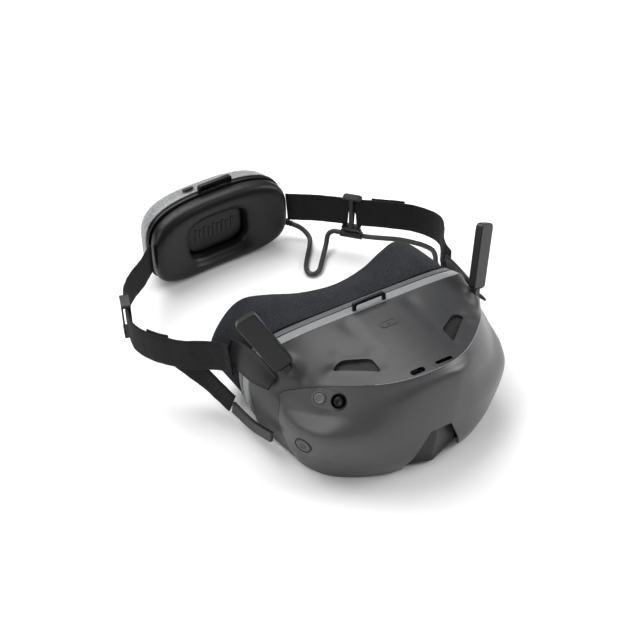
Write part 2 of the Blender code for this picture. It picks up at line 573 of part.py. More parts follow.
# ---------------------------------------------------------------- straps
def make_arm(side):
    """Flexible wing that carries the upper strap, and the lower clip under it."""
    upper = [(79.4, 19.0, 64.5), (80.6, 32.0, 67.6), (82.0, 45.0, 68.0),
             (82.8, 57.0, 66.4), (83.6, 66.5, 63.0)]
    lower = [(85.6, 19.0, 56.5), (87.6, 34.0, 50.6), (87.8, 48.0, 46.4),
             (87.6, 59.0, 44.4), (87.8, 67.5, 44.0)]
    rows = []
    for k in range(9):
        a, b = curve(upper, k / 8), curve(lower, k / 8)
        rows.append([a.lerp(b, s) + Vector((2.4 * s * (1 - s), 0, 0)) for s in (0, 0.33, 0.66, 1)])
    thick = [[p + Vector((1.6, 0, 0.4)) for p in row] for row in rows]
    flip = (lambda p: mirror(p)) if side < 0 else (lambda p: p)
    sheet_body(sided("upper_arm", side), [[flip(p) for p in row] for row in thick],
               [[flip(p) for p in row] for row in rows], dark)
    top = [(86.8, 12.4, 24.4), (89.9, 34.0, 18.8), (92.4, 56.5, 18.2)]
    base = [(86.4, 14.6, 13.2), (89.4, 35.0, 7.8), (92.8, 57.5, 7.8)]
    rows = [[curve(top, t), curve(base, t)] for t in (0, 0.25, 0.5, 0.75, 1.0)]
    thick = [[p + Vector((2.6, 0, 0)) for p in row] for row in rows]
    sheet_body(sided("lower_clip", side), [[flip(p) for p in row] for row in thick],
               [[flip(p) for p in row] for row in rows], dark)


def ribbon(name, points, width, thick, look, start=0.0, end=1.0, steps=30, shift=0.0, lift=0.0, **options):
    """Flat webbing that stands on edge along a smooth curve."""
    grid = []
    for k in range(steps + 1):
        t = start + (end - start) * k / steps
        p = curve(points, t)
        ahead = curve(points, min(t + 0.004, 1.0)) - curve(points, max(t - 0.004, 0.0))
        side = Vector((ahead.y, -ahead.x, 0)).normalized()
        up = side.cross(ahead).normalized()
        if up.z < 0:
            up = -up
        p = p + side * shift + Vector((0, 0, lift))
        grid.append([p + side * thick / 2 * a + up * width / 2 * b
                     for a, b in ((-1, -1), (1, -1), (1, 1), (-1, 1))])
    return grid_body(name, grid, look, around=True, smooth=30, **options)


def strap_frame(points, t):
    """Local axes on a strap: along it, up, and out of its face away from the head."""
    ahead = (curve(points, t + 0.01) - curve(points, t - 0.01)).normalized()
    out = Vector((ahead.y, -ahead.x, 0)).normalized()
    return curve(points, t), ahead, out


def make_slider(name, points, t, outside):
    """Three-bar slider: rails above and below the webbing, end bars inside and a middle bar outside."""
    centre, ahead, out = strap_frame(points, t)
    out = out * outside
    flat = Vector((ahead.x, ahead.y, 0)).normalized()
    axes = Matrix((flat, Vector((0, 0, 1)), flat.cross(Vector((0, 0, 1))))).transposed()
    sign = 1 if axes.col[2].dot(out) > 0 else -1
    low, high = (-2.8, 4.0) if sign > 0 else (-4.0, 2.8)
    half, rail = SLIDER_LENGTH / 2, SLIDER_HEIGHT / 2
    inner = STRAP_WIDTH / 2 + 0.8
    top_rail = rounded(SLIDER_LENGTH, rail - inner, 0.8, 2, (0, (rail + inner) / 2))
    body = prism(name, top_rail, low, high, dark, centre, axes, pivot=centre)
    parts = [("low_rail", rounded(SLIDER_LENGTH, rail - inner, 0.8, 2, (0, -(rail + inner) / 2)), low, high)]
    for k, x in enumerate((-half + 1.4, half - 1.4)):
        span = (low + 0.1, low + 1.5) if sign > 0 else (high - 1.5, high - 0.1)
        parts.append((f"end_bar_{k}", rounded(2.8, rail * 2 - 0.6, 0.8, 2, (x * 0.99, 0)), *span))
    span = (high - 1.5, high - 0.1) if sign > 0 else (low + 0.1, low + 1.5)
    parts.append(("middle_bar", rounded(3.0, rail * 2 - 0.6, 0.8, 2), *span))
    for label, outline, a, b in parts:
        join(body, prism(f"{name}_{label}", outline, a, b, None, centre, axes, pivot=centre))
    return centre, flat, axes


def make_straps():
    ribbon("strap_left", LEFT_STRAP, STRAP_WIDTH, STRAP_THICK, webbing, steps=34)
    ribbon("strap_right", RIGHT_STRAP, STRAP_WIDTH, STRAP_THICK, webbing, steps=34)
    ribbon("strap_left_tail", LEFT_STRAP, STRAP_WIDTH - 1, STRAP_THICK, webbing, 0.60, 0.70, 6, -2.0, 1.0)
    ribbon("strap_right_tail", RIGHT_STRAP, STRAP_WIDTH - 1, STRAP_THICK, webbing, 0.366, 0.455, 6, -2.0, 1.0)
    right_lower = [mirror(p) for p in LEFT_LOWER_STRAP]
    ribbon("strap_left_lower", LEFT_LOWER_STRAP, LOWER_STRAP_WIDTH, STRAP_THICK, webbing, steps=8)
    ribbon("strap_right_lower", right_lower, LOWER_STRAP_WIDTH, STRAP_THICK, webbing, steps=8)
    make_slider("slider_left", LEFT_STRAP, LEFT_SLIDER_AT, 1)
    centre, flat, axes = make_slider("slider_right", RIGHT_STRAP, RIGHT_SLIDER_AT, 1)
    top = -SLIDER_HEIGHT / 2 - GAP
    middle = (top - CLIP_DROP) / 2
    tab = [(-7.2, top), (7.2, top), (9.6, -CLIP_DROP), (-9.6, -CLIP_DROP)]
    window = rounded(10.6, 3.0, 0.8, 3, (0, top - 2.2))
    clip = prism("cable_clip", tab, -1.6, 1.6, dark, centre, axes, pivot=centre)
    cut(clip, prism("clip_window", window, -4, 4, None, centre, axes, pivot=centre))
    around = Matrix((Vector((0, 0, 1)), axes.col[2], axes.col[0])).transposed()
    barrel = centre - Vector((0, 0, CLIP_DROP))
    join(clip, prism("clip_tube", disc(3.1, 16), -9, 9, None, barrel, around, pivot=centre))
    cut(clip, prism("clip_bore", disc(2.5, 16), -14, 14, None, barrel, around, pivot=centre))
    return centre, flat


# ---------------------------------------------------------------- battery pack
def pack_point(x, y, z):
    """Point of the pack's own frame: x across, y away from the head, z up from its middle."""
    turn = Matrix.Rotation(PACK_TURN, 3, "Z")
    return Vector(PACK_CENTRE) + turn @ Vector((x, y - PACK_BEND * x * x, z))


def pack_axes(normal, along=(0, 0, 1)):
    return Matrix.Rotation(PACK_TURN, 3, "Z") @ frame_of(normal, along)


def make_pack():
    sides = 40

    def loop(width, height, y, power=3.6, middle=(0, 0)):
        return [pack_point(x + middle[0], y, z + middle[1])
                for x, z in squircle(width, height, sides, power)]

    window = (-0.5, -2.5)
    pad = [loop(58.6, 32.4, 12.0), loop(58.8, 32.6, 6.0), loop(57.6, 31.6, 1.6, 3.4),
           loop(53.5, 28.0, -0.8, 3.2), loop(29.0, 21.0, 1.4, 3.4, window),
           loop(25.8, 17.8, 3.8, 3.8, window), loop(24.8, 16.8, 12.0, 3.8, window)]
    grid_body("battery_pad", pad, satin, around=True, along=True, smooth=50)
    frame = [loop(14, 7, 12.4), loop(36, 20, 12.4), loop(58.8, 32.6, 12.4), loop(59.6, 33.2, 13.4),
             loop(59.6, 33.2, 16.4), loop(58.8, 32.6, 17.4), loop(36, 20, 17.4), loop(14, 7, 17.4)]
    grid_body("battery_frame", frame, black, around=True, smooth=25)
    outer = [(58.6, 32.5, 17.8), (58.2, 32.2, 24.0), (55.6, 30.0, 31.0),
             (49.8, 25.0, 36.4), (40.5, 18.0, 39.0), (16.0, 7.0, 39.4)]
    shell = [loop(*ring) for ring in outer]
    shell += [loop(w - 2.0, h - 2.0, min(y, 36.6)) for w, h, y in reversed(outer)]
    rows, columns = len(shell), sides
    vertices = [p for row in shell for p in row]
    faces = []
    for i in range(rows):
        for j in range(columns):
            if i == 5:
                continue
            i2, j2 = (i + 1) % rows, (j + 1) % columns
            faces.append((i * columns + j, i2 * columns + j, i2 * columns + j2, i * columns + j2))
    faces.append(tuple(5 * columns + j for j in range(columns)))
    faces.append(tuple(6 * columns + j for j in reversed(range(columns))))
    new_object("battery_shell", vertices, faces, silver, smooth=45)
    for k in (-1, 1):
        along = pack_axes((1, 0, 0))
        cell = [(0, -28.0), (8.0, -28.0), (8.0, 27.0), (3.0, 27.0), (3.0, 28.1), (0, 28.1)]
        level = "upper" if k > 0 else "lower"
        turned(f"battery_cell_{level}", cell, wrap, pack_point(0, 25.8, k * 8.6), along, sides=20)
    outward = pack_axes((0, 1, 0))
    prism("battery_board", rounded(1.6, 36, 0.4, 1), 18.8, 31.0, circuit, pack_point(37, 0, 0), outward)
    grid_body("battery_inner_panel", [loop(w, h, y, 3.8, window) for w, h, y in
                                       ((9, 5, 10.4), (23.4, 15.4, 10.4), (23.4, 15.4, 11.9), (9, 5, 11.9))], black, around=True)
    arch = [(-14.5, -0.2), (-14.5, 2.4), (-12, 5), (12, 5), (14.5, 2.4), (14.5, -0.2),
            (12, -0.2), (12, 1.6), (11, 2.4), (-11, 2.4), (-12, 1.6), (-12, -0.2)]
    prism("battery_strap_loop", arch, 12.8, 16.0, black, pack_point(5, 0, 34.0), outward)
    button = pack_axes((0, 0.28, 0.96), (0, 1, 0))
    seat = pack_point(-14, 22.5, 32.8)
    prism("battery_button", rounded(10.0, 4.4, 2.0, 4), 0.4, 1.6, dark, seat, button, pivot=seat)


# ---------------------------------------------------------------- cable
def make_cable():
    data = bpy.data.curves.new("battery_cable", "CURVE")
    data.dimensions = "3D"
    data.bevel_depth = CABLE_DIAMETER / 2 * MM
    data.bevel_resolution = 2
    data.render_resolution_u = 0
    data.use_fill_caps = True
    spline = data.splines.new("POLY")
    count = 72
    spline.points.add(count - 1)
    for k in range(count):
        spline.points[k].co = (*(curve(CABLE_ROUTE, k / (count - 1)) * MM), 1.0)
    data.materials.append(black)
    tube = bpy.data.objects.new("battery_cable", data)
    bpy.context.collection.objects.link(tube)
    tube.parent = goggles
    start, ahead = Vector(CABLE_ROUTE[0]), Vector(CABLE_ROUTE[1]) - Vector(CABLE_ROUTE[0])
    root = Vector(GLAND_ROOT)
    axis = frame_of(start - root)
    reach = (start - root).length - GAP
    gland = [(0, 0), (3.5, 0), (3.4, 2.0), (2.8, reach - 0.5), (2.4, reach), (0, reach)]
    turned("cable_gland_battery", gland, black, root, axis, sides=16)
    end = Vector(CABLE_ROUTE[-1])
    socket = Vector(CABLE_SOCKET)
    axis = frame_of(end - socket)
    reach = (end - socket).length - GAP
    boot = [(0, 0), (3.0, 0), (3.0, 3.0), (2.8, reach - 0.5), (2.4, reach), (0, reach)]
    turned("cable_gland_visor", boot, black, socket, axis, sides=16)


# ---------------------------------------------------------------- assembly
for old in list(bpy.data.objects):
    bpy.data.objects.remove(old)
goggles = bpy.data.objects.new("goggles_frame", None)
bpy.context.collection.objects.link(goggles)
goggles.location = Vector(ORIGIN) * MM

grey = look("moulded_grey", (0.13, 0.13, 0.135), 0.5)
silver = look("light_trim", (0.34, 0.35, 0.36), 0.45)
dark = look("dark_plastic", (0.045, 0.046, 0.05), 0.5)
black = look("black_plastic", (0.02, 0.02, 0.022), 0.55)
satin = look("satin_pad", (0.02, 0.02, 0.022), 0.35)
knit = look("knit_foam", (0.03, 0.031, 0.036), 0.95)
webbing = look("webbing", (0.02, 0.02, 0.021), 0.9)
glass = look("optical", (0.55, 0.6, 0.65), 0.05)
circuit = look("circuit_board", (0.02, 0.12, 0.06), 0.5)
aluminium = look("aluminium", (0.7, 0.7, 0.72), 0.35, 1.0)
steel = look("steel", (0.55, 0.55, 0.56), 0.3, 1.0)
wrap = look("cell_wrap", (0.05, 0.2, 0.35), 0.4)

bezel_axes, bezel_centre = make_front_shell()
make_nose_panel()
make_housing()
make_bottom_cover()
make_trim()
make_foam()
make_face_plate()
make_electronics()
make_top_loop()
make_controls(bezel_axes, bezel_centre)
for hand in (-1, 1):
    make_antenna(hand)
    make_arm(hand)
make_straps()
make_pack()
make_cable()
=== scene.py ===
"""Looks of the drone pilot's video goggles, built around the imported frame.

Points are in millimetres in the goggles' own frame, as in the CAD: -Y is out of the front of the
visor, +Z is up, x = 0 is the visor's plane of symmetry and z = 0 is the table.  A body made here is
written into its mesh in world metres, so that textures and the frame agree.
"""
import math

import bmesh
import bpy
import numpy as np
from mathutils import Matrix, Vector


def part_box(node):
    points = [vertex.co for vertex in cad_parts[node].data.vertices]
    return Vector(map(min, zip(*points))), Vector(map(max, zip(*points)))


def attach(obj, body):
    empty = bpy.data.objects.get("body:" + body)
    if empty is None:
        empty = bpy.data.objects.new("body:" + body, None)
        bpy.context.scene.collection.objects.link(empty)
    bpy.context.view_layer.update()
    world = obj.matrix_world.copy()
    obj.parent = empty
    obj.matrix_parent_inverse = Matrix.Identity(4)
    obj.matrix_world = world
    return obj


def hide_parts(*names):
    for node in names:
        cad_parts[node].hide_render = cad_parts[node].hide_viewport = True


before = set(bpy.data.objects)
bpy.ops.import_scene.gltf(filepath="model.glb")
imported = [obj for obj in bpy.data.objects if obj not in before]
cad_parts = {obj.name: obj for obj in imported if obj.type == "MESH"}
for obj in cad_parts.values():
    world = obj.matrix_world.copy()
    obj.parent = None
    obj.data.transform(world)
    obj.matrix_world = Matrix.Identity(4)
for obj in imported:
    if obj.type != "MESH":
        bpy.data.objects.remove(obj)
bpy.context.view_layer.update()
MM = 0.001
X, Y, Z = Vector((1, 0, 0)), Vector((0, 1, 0)), Vector((0, 0, 1))


def middle_of(*nodes):
    """Middle of the box round some CAD nodes, in world millimetres."""
    corners = [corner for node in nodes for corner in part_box(node)]
    low = Vector([min(c[k] for c in corners) for k in range(3)])
    high = Vector([max(c[k] for c in corners) for k in range(3)])
    return (low + high) / 2 / MM


LENS_X, LENS_Y, LENS_Z, LENS_R = 32.0, 34.5, 42.0, 21.6
ORIGIN = middle_of("lens_left", "lens_right") - Vector((0, LENS_Y, LENS_Z))


# ---------------------------------------------------------------- driving points, as in the CAD
GAP = 0.35
WALL = 2.2
STRAP_WIDTH, STRAP_THICK = 25.0, 1.6
CABLE_DIAMETER = 4.0
NOTCH_TOP_X, NOTCH_TOP_Z = 8.0, 39.8
NOTCH_FOOT_X, NOTCH_FOOT_Z = 22.3, 7.6
SEAM_SHARE = 0.7
SEAM = [(0, -41, 81), (14, -39.6, 80.2), (28, -34, 77.6), (42, -24.5, 74.2), (55, -13.2, 70.8),
        (66, -2, 66.3), (74, 8.2, 60), (78.6, 13.6, 56), (80.6, 15, 53)]
BROW = [(0, -47.5, 74), (15, -46.6, 72.8), (28, -43.4, 69), (41, -37, 63.8), (54, -28.2, 58.4),
        (65, -17.2, 53.8), (74.4, -4, 50.6), (80.2, 6.4, 49.2), (82.6, 11.4, 48)]
BULGE = [(0, -52, 46), (16, -51, 45), (32, -48.5, 43.6), (48, -42.5, 42.4), (62, -33.5, 41.2),
         (72.5, -23.6, 40.2), (80, -10.6, 39.2), (83.6, 0.6, 38.4), (84.8, 9.2, 37.6)]
LOWER = [(0, -50.2, 20), (16, -49.3, 19.2), (31, -46, 18.4), (46, -39.7, 17.8), (59.5, -30.5, 17.2),
         (69.8, -20, 17), (76.6, -8.4, 17), (80.2, -1, 17.6), (81.8, 6, 18)]
HEM = [(0, -45, 4.5), (16, -44, 4.5), (30, -40.6, 2.4), (44, -34.6, 1.2), (56.5, -27.4, 1),
       (66, -19.4, 1), (71.6, -10.4, 1), (74.2, -4, 1), (75.2, 1, 1)]
SHELL_ROWS = [SEAM, BROW, BULGE, LOWER, HEM]
HOUSING_MIDDLE = [(0, -5, 81.8), (26, -2.5, 80.0), (49.5, 5, 76.0), (69.5, 17.5, 70.5),
                  (79.3, 24.5, 62.6), (86.2, 30, 40), (80.5, 24.5, 2.2)]
HOUSING_REAR = [(0, 30.5, 81.2), (25, 30.5, 81.1), (48, 30.7, 80.6), (66, 31.5, 78.4),
                (78, 37, 70), (87, 45, 43), (83, 43.5, 3)]
TRIM_FRONT = HOUSING_REAR[:6] + [(84, 44.2, 10), (62, 44, 3.6), (30, 44, 3.2), (0, 44, 3.2)]
TRIM_REAR = [(0, 46, 77.5), (25, 46, 77.4), (48, 46.4, 76.6), (65, 48, 73.8), (77, 53, 65.6),
             (86.4, 61, 41), (82.4, 58, 11), (61, 56.5, 5.2), (30, 56, 4.6), (0, 56, 4.6)]
FOAM_RIDGE = [(0, 81, 65), (26, 85, 66), (47, 93, 68), (64, 99.5, 66.4), (79, 100, 55.4),
              (91.6, 96, 38.4), (86, 92, 20), (52, 88, 9.4), (24, 82, 11.5), (0, 76, 26)]
FOAM_EYE_REAR = [(0, 75, 48), (22, 78, 50), (42, 86, 51.6), (55, 90.5, 50), (64, 90.5, 44),
                 (66, 88, 36), (59, 86, 25), (41, 83, 20.4), (20, 79, 24), (0, 73, 37)]
FOAM_EYE_FRONT = [(0, 51, 54), (23, 51, 56), (43, 52, 56.6), (56, 53, 54), (63, 56, 46),
                  (65, 59, 36), (60, 57, 24), (43, 55, 18), (21, 53, 20), (0, 52, 33)]
LEFT_STRAP = [(-82.2, 209.4, 33.4), (-94.8, 196.0, 35.0), (-105.6, 186.6, 36.0), (-114.4, 178.0, 36.6),
              (-121.3, 167.4, 37.4), (-126.2, 153.0, 37.8), (-130.4, 138.0, 38.0), (-130.8, 127.0, 38.2),
              (-126.4, 114.6, 39.0), (-119.4, 102.4, 40.4), (-111.0, 90.0, 43.0), (-101.2, 78.2, 47.2),
              (-94.4, 69.2, 50.0), (-91.6, 61.2, 51.2)]
RIGHT_STRAP = [(38.9, 214.9, 33.6), (47.6, 207.4, 34.4), (58.4, 198.2, 35.2), (68.0, 188.6, 36.0),
               (77.0, 178.2, 37.0), (92.0, 163.0, 38.6), (107.2, 147.4, 39.8), (115.0, 135.6, 40.4),
               (118.2, 124.6, 41.4), (116.6, 114.0, 43.0), (110.4, 103.4, 45.2), (102.0, 92.6, 48.4),
               (95.4, 81.0, 50.8), (92.0, 69.0, 52.2)]
LEFT_LOWER_STRAP = [(-112.6, 98.6, 33.6), (-107.0, 90.0, 28.6), (-101.4, 81.4, 22.8), (-97.0, 70.4, 17.8),
                    (-93.6, 59.4, 13.6)]
LOWER_STRAP_WIDTH = 20.0
LEFT_SLIDER_AT, RIGHT_SLIDER_AT = 5 / 13, 4 / 13
SLIDER_LENGTH, SLIDER_HEIGHT = 15.0, 30.0
CLIP_DROP = 21.8                 # from the right slider's middle down to the cable
CABLE_ROUTE = [(44.9, 217.0, 12.8), (49.8, 213.8, 9.8), (52.9, 208.6, 6.4), (52.6, 202.0, 3.8),
               (46.6, 193.0, 2.7), (39.0, 183.2, 2.6), (32.8, 174.4, 2.6), (30.6, 167.6, 2.6),
               (33.2, 163.6, 2.6), (39.0, 165.0, 2.6), (45.6, 172.2, 2.7), (52.2, 179.8, 3.8),
               (57.6, 185.2, 7.6), (62.4, 190.0, 12.6), (66.6, 189.2, 15.0), (70.2, 185.5, 15.2),
               (77.0, 178.2, 15.2), (83.8, 170.9, 15.2), (89.0, 165.0, 15.8), (94.6, 157.8, 17.4),
               (101.6, 148.0, 19.8), (107.2, 136.8, 22.2),
               (110.4, 126.6, 24.6), (110.8, 115.6, 27.2), (106.4, 105.6, 29.6), (100.6, 96.8, 31.6),
               (97.4, 88.0, 33.4), (96.2, 79.6, 34.2), (94.4, 71.6, 33.8)]
GLAND_ROOT, CABLE_SOCKET = (37.9, 221.6, 16.6), (91.2, 60.6, 33.4)
ANTENNA_FOOT = Vector((75.2, 17.2, 74.2))
ANTENNA_TIPS = {-1: Vector((94.7, 32.8, 111.6)), 1: Vector((90.4, 33.2, 113.5))}    # left as if mirrored
ANTENNA_FACE = Vector((0.42, -0.81, 0.40))
ANTENNA_WIDTH, ANTENNA_THICK, HINGE_HEIGHT, STAND_HEIGHT = 15.0, 5.6, 6.0, 11.6
ANTENNA_SET_BACK, TONGUE_R = 0.6, 2.2
SHORTCUT_CENTRE, SHORTCUT_R = (-64.8, -9.1, 62.6), 3.6
JOYSTICK_CENTRE, JOYSTICK_R = (-56.8, -18.4, 63.2), 4.3
PANEL_NORMAL = (-0.55, -0.62, 0.56)
POWER_CENTRE, POWER_R, POWER_NORMAL = (-78.7, -11.3, 28.7), 5.6, (-0.88, -0.46, -0.10)
VENT_DECK = [(27.4, -22.6, 78.1), (27.2, -9.8, 79.2), (43.8, 1.2, 76.6), (51.6, -1.4, 73.4)]
VENT = [(x, y) for x, y, _ in VENT_DECK]
PACK_CENTRE, PACK_TURN = (-21.5, 211.5, 33.2), math.radians(3.5)
PACK_BEND = 0.0018
PACK_WINDOW = (-0.5, -2.5)
NOSE_TOP, NOSE_HEIGHT, NOSE_SET_BACK, NOSE_THICK = 41.6, 39.6, 7.0, 1.6
VENT_CORNERS = [3.6, 3.0, 3.6, 3.0]
USB_PLACE, CARD_PLACE, PORT_NORMAL = (-9.5, -34.4, 77.8), (10.5, -34.4, 77.8), (0, -0.45, 0.89)
TOP_LOOP_PLACE, TOP_LOOP_HALF_THICK = (-1.2, 33.6, 80.6), 1.1
LEFT_TAIL, RIGHT_TAIL, TAIL_SHIFT, TAIL_LIFT = (0.60, 0.70), (0.366, 0.455), -2.0, 1.0
LEFT_STITCHES, RIGHT_STITCHES, STITCH_ROWS = 0.93, 0.95, (-2.0, 1.0)
BOOT_RIBS = 3


# ---------------------------------------------------------------- curves and outlines
def curve(points, t, mirrored=False):
    """Point at t in 0..1 on the smooth curve through points; mirrored curves start on x = 0."""
    last = len(points) - 1
    s = min(max(t, 0.0), 1.0) * last
    k = min(int(s), last - 1)

    def at(i):
        if i < 0:
            if mirrored:
                return mirror(points[1])
            return 2 * Vector(points[0]) - Vector(points[1])
        if i > last:
            if mirrored and abs(points[last][0]) < 1e-6:
                return mirror(points[last - 1])
            return 2 * Vector(points[last]) - Vector(points[last - 1])
        return Vector(points[i])

    a, b, c, d = at(k - 1), at(k), at(k + 1), at(k + 2)
    f = s - k
    return (b * 2 + (c - a) * f + (a * 2 - b * 5 + c * 4 - d) * f * f
            + (b * 3 - a - c * 3 + d) * f ** 3) * 0.5


def mirror(p):
    return Vector((-p[0], p[1], p[2]))


def ease(x, low=0.0, high=1.0):
    """Smooth step from 0 at low to 1 at high."""
    t = min(max((x - low) / (high - low), 0.0), 1.0)
    return t * t * (3 - 2 * t)


def disc(radius, sides=48):
    turns = (2 * math.pi * k / sides for k in range(sides))
    return [(radius * math.cos(a), radius * math.sin(a)) for a in turns]


def rounded(width, height, radius, steps=6, middle=(0.0, 0.0)):
    """Rectangle outline with round corners."""
    points = []
    for corner in range(4):
        cx = (width / 2 - radius) * (1 if corner in (0, 3) else -1)
        cy = (height / 2 - radius) * (1 if corner in (0, 1) else -1)
        for k in range(steps + 1):
            a = math.pi / 2 * (corner + k / steps)
            points.append((middle[0] + cx + radius * math.cos(a), middle[1] + cy + radius * math.sin(a)))
    return points


def round_corners(outline, radius, steps=5):
    """Polygon outline with each corner replaced by an arc-like curve; radius may be one per corner."""
    count = len(outline)
    radii = radius if isinstance(radius, (list, tuple)) else [radius] * count
    points = []
    for k in range(count):
        before, here, after = (Vector(outline[i % count]) for i in (k - 1, k, k + 1))
        r = min(radii[k], (before - here).length * 0.48, (after - here).length * 0.48)
        start = here + (before - here).normalized() * r
        end = here + (after - here).normalized() * r
        for s in range(steps + 1):
            t = s / steps
            points.append(tuple(start.lerp(here, t).lerp(here.lerp(end, t), t)))
    return points


def squircle(half_width, half_height, sides, power):
    """Superellipse outline, as flat sided and round cornered as its power says."""
    points = []
    for k in range(sides):
        a = 2 * math.pi * (k + 0.5) / sides
        c, s = math.cos(a), math.sin(a)
        points.append((math.copysign(half_width * abs(c) ** (2 / power), c),
                       math.copysign(half_height * abs(s) ** (2 / power), s)))
    return points


def frame_of(normal, along=(0, 0, 1)):
    """Local axes (across, along, normal) as columns of a rotation."""
    n = Vector(normal).normalized()
    a = Vector(along) - n * Vector(along).dot(n)
    a.normalize()
    return Matrix((a.cross(n), a, n)).transposed()


def placer(centre=(0, 0, 0), axes=None):
    """Function from a point in local axes at centre to the goggles' frame."""
    axes = axes or Matrix.Identity(3)
    return lambda p: Vector(centre) + axes @ Vector(p)


# ---------------------------------------------------------------- bodies
def sided(name, side):
    return f"{name}_{'left' if side < 0 else 'right'}"


def body_of(name, vertices, faces, look, body="root", stands_for=(), slot=None, smooth=40.0,
            bevel=0.0, bevel_steps=3, uv=None):
    """A finished piece from points in the goggles' frame."""
    mesh = bpy.data.meshes.new(name)
    mesh.from_pydata([(Vector(v) + ORIGIN) * MM for v in vertices], [], faces)
    bm = bmesh.new()
    bm.from_mesh(mesh)
    if uv:
        layer = bm.loops.layers.uv.new("UVMap")
        bm.verts.ensure_lookup_table()
        for face in bm.faces:
            spots = [uv[loop.vert.index] for loop in face.loops]
            for loop, spot in zip(face.loops, spots):
                loop[layer].uv = spot
    bmesh.ops.recalc_face_normals(bm, faces=bm.faces)
    bm.to_mesh(mesh)
    bm.free()
    mesh.shade_smooth()
    mesh.set_sharp_from_angle(angle=math.radians(smooth))
    obj = bpy.data.objects.new(name, mesh)
    bpy.context.scene.collection.objects.link(obj)
    if look:
        mesh.materials.append(look)
    if bevel:
        add_bevel(obj, bevel, bevel_steps)
    if body:
        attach(obj, body)
    if stands_for:
        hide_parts(*([stands_for] if isinstance(stands_for, str) else stands_for))
    return obj


def add_bevel(obj, width, steps=3, angle=32.0):
    edge = obj.modifiers.new("edges", "BEVEL")
    edge.width = width * MM
    edge.segments = steps
    edge.limit_method = "ANGLE"
    edge.angle_limit = math.radians(angle)
    edge.harden_normals = True


def add_rounding(obj):
    extra = obj.modifiers.new("rounding", "SUBSURF")
    extra.levels = extra.render_levels = 2


def grid_faces(rows, columns, around=False, along=False, offset=0):
    faces = []
    for i in range(rows if along else rows - 1):
        for j in range(columns if around else columns - 1):
            i2, j2 = (i + 1) % rows, (j + 1) % columns
            faces.append(tuple(offset + k for k in (i * columns + j, i2 * columns + j,
                                                    i2 * columns + j2, i * columns + j2)))
    return faces


def lofted(name, grid, look, around=True, along=False, **options):
    """Closed body through loops of points; the ends are capped unless along closes it to a ring."""
    rows, columns = len(grid), len(grid[0])
    faces = grid_faces(rows, columns, around, along)
    if not along:
        faces.append(tuple(range(columns)))
        faces.append(tuple((rows - 1) * columns + j for j in range(columns))[::-1])
    return body_of(name, [p for row in grid for p in row], faces, look, **options)


def sheet_body(name, outer, inner, look, **options):
    """Closed body between an outer and an inner grid of the same size, with rims all round."""
    rows, columns = len(outer), len(outer[0])
    vertices = [p for grid in (outer, inner) for row in grid for p in row]
    count = rows * columns
    faces = grid_faces(rows, columns)
    faces += [tuple(reversed(f)) for f in grid_faces(rows, columns, offset=count)]
    rim = list(range(columns)) + [i * columns + columns - 1 for i in range(1, rows)]
    rim += [(rows - 1) * columns + j for j in range(columns - 2, -1, -1)]
    rim += [i * columns for i in range(rows - 2, 0, -1)]
    faces += [(b, a, a + count, b + count) for a, b in zip(rim, rim[1:] + rim[:1])]
    return body_of(name, vertices, faces, look, **options)


def prism(name, outline, low, high, look, place=None, **options):
    """Outline in a local plane, extruded along its normal from low to high."""
    place = place or placer()
    grid = [[place((x, y, h)) for x, y in outline] for h in (low, high)]
    return lofted(name, grid, look, **options)


def turned(name, profile, look, place, sides=48, **options):
    """Profile of (radius, height) pairs turned about the local normal; radius 0 ends are points."""
    vertices, faces, rings = [], [], []
    for radius, height in profile:
        if radius < 1e-6:
            rings.append([len(vertices)])
            vertices.append(place((0, 0, height)))
            continue
        rings.append(list(range(len(vertices), len(vertices) + sides)))
        for k in range(sides):
            a = 2 * math.pi * k / sides
            vertices.append(place((radius * math.cos(a), radius * math.sin(a), height)))
    pairs = list(zip(rings, rings[1:]))
    if profile[0][0] > 0 and profile[-1][0] > 0:
        pairs.append((rings[-1], rings[0]))
    for low, high in pairs:
        for k in range(sides):
            k2 = (k + 1) % sides
            if len(low) == 1:
                faces.append((low[0], high[k2], high[k]))
            elif len(high) == 1:
                faces.append((low[k], low[k2], high[0]))
            else:
                faces.append((low[k], low[k2], high[k2], high[k]))
    return body_of(name, vertices, faces, look, **options)


def filleted(profile, radius, steps=4):
    """Profile with its inner corners rounded, for turned pieces."""
    points = [profile[0]]
    for before, here, after in zip(profile, profile[1:], profile[2:]):
        b, h, a = Vector(before), Vector(here), Vector(after)
        r = min(radius, (b - h).length * 0.45, (a - h).length * 0.45)
        start, end = h + (b - h).normalized() * r, h + (a - h).normalized() * r
        for s in range(steps + 1):
            t = s / steps
            points.append(tuple(start.lerp(h, t).lerp(h.lerp(end, t), t)))
    points.append(profile[-1])
    return points


def tube(name, route, radius, look, count=None, closed=False, sides=5, **options):
    """Round bar along a route in the goggles' frame, as a curve object."""
    data = bpy.data.curves.new(name, "CURVE")
    data.dimensions = "3D"
    data.bevel_depth = radius * MM
    data.bevel_resolution = sides
    data.use_fill_caps = True
    spline = data.splines.new("POLY")
    points = [curve(route, k / (count - 1)) for k in range(count)] if count else [Vector(p) for p in route]
    spline.points.add(len(points) - 1)
    for k, p in enumerate(points):
        spline.points[k].co = (*((p + ORIGIN) * MM), 1.0)
    spline.use_cyclic_u = closed
    spline.use_smooth = True
    data.materials.append(look)
    obj = bpy.data.objects.new(name, data)
    bpy.context.scene.collection.objects.link(obj)
    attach(obj, options.get("body", "root"))
    if options.get("stands_for"):
        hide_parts(options["stands_for"])
    return obj


def applied(obj):
    """Bake an object's modifiers into its mesh."""
    bpy.context.view_layer.update()
    shape = obj.evaluated_get(bpy.context.evaluated_depsgraph_get())
    mesh = bpy.data.meshes.new_from_object(shape)
    obj.modifiers.clear()
    old = obj.data
    obj.data = mesh
    bpy.data.meshes.remove(old)


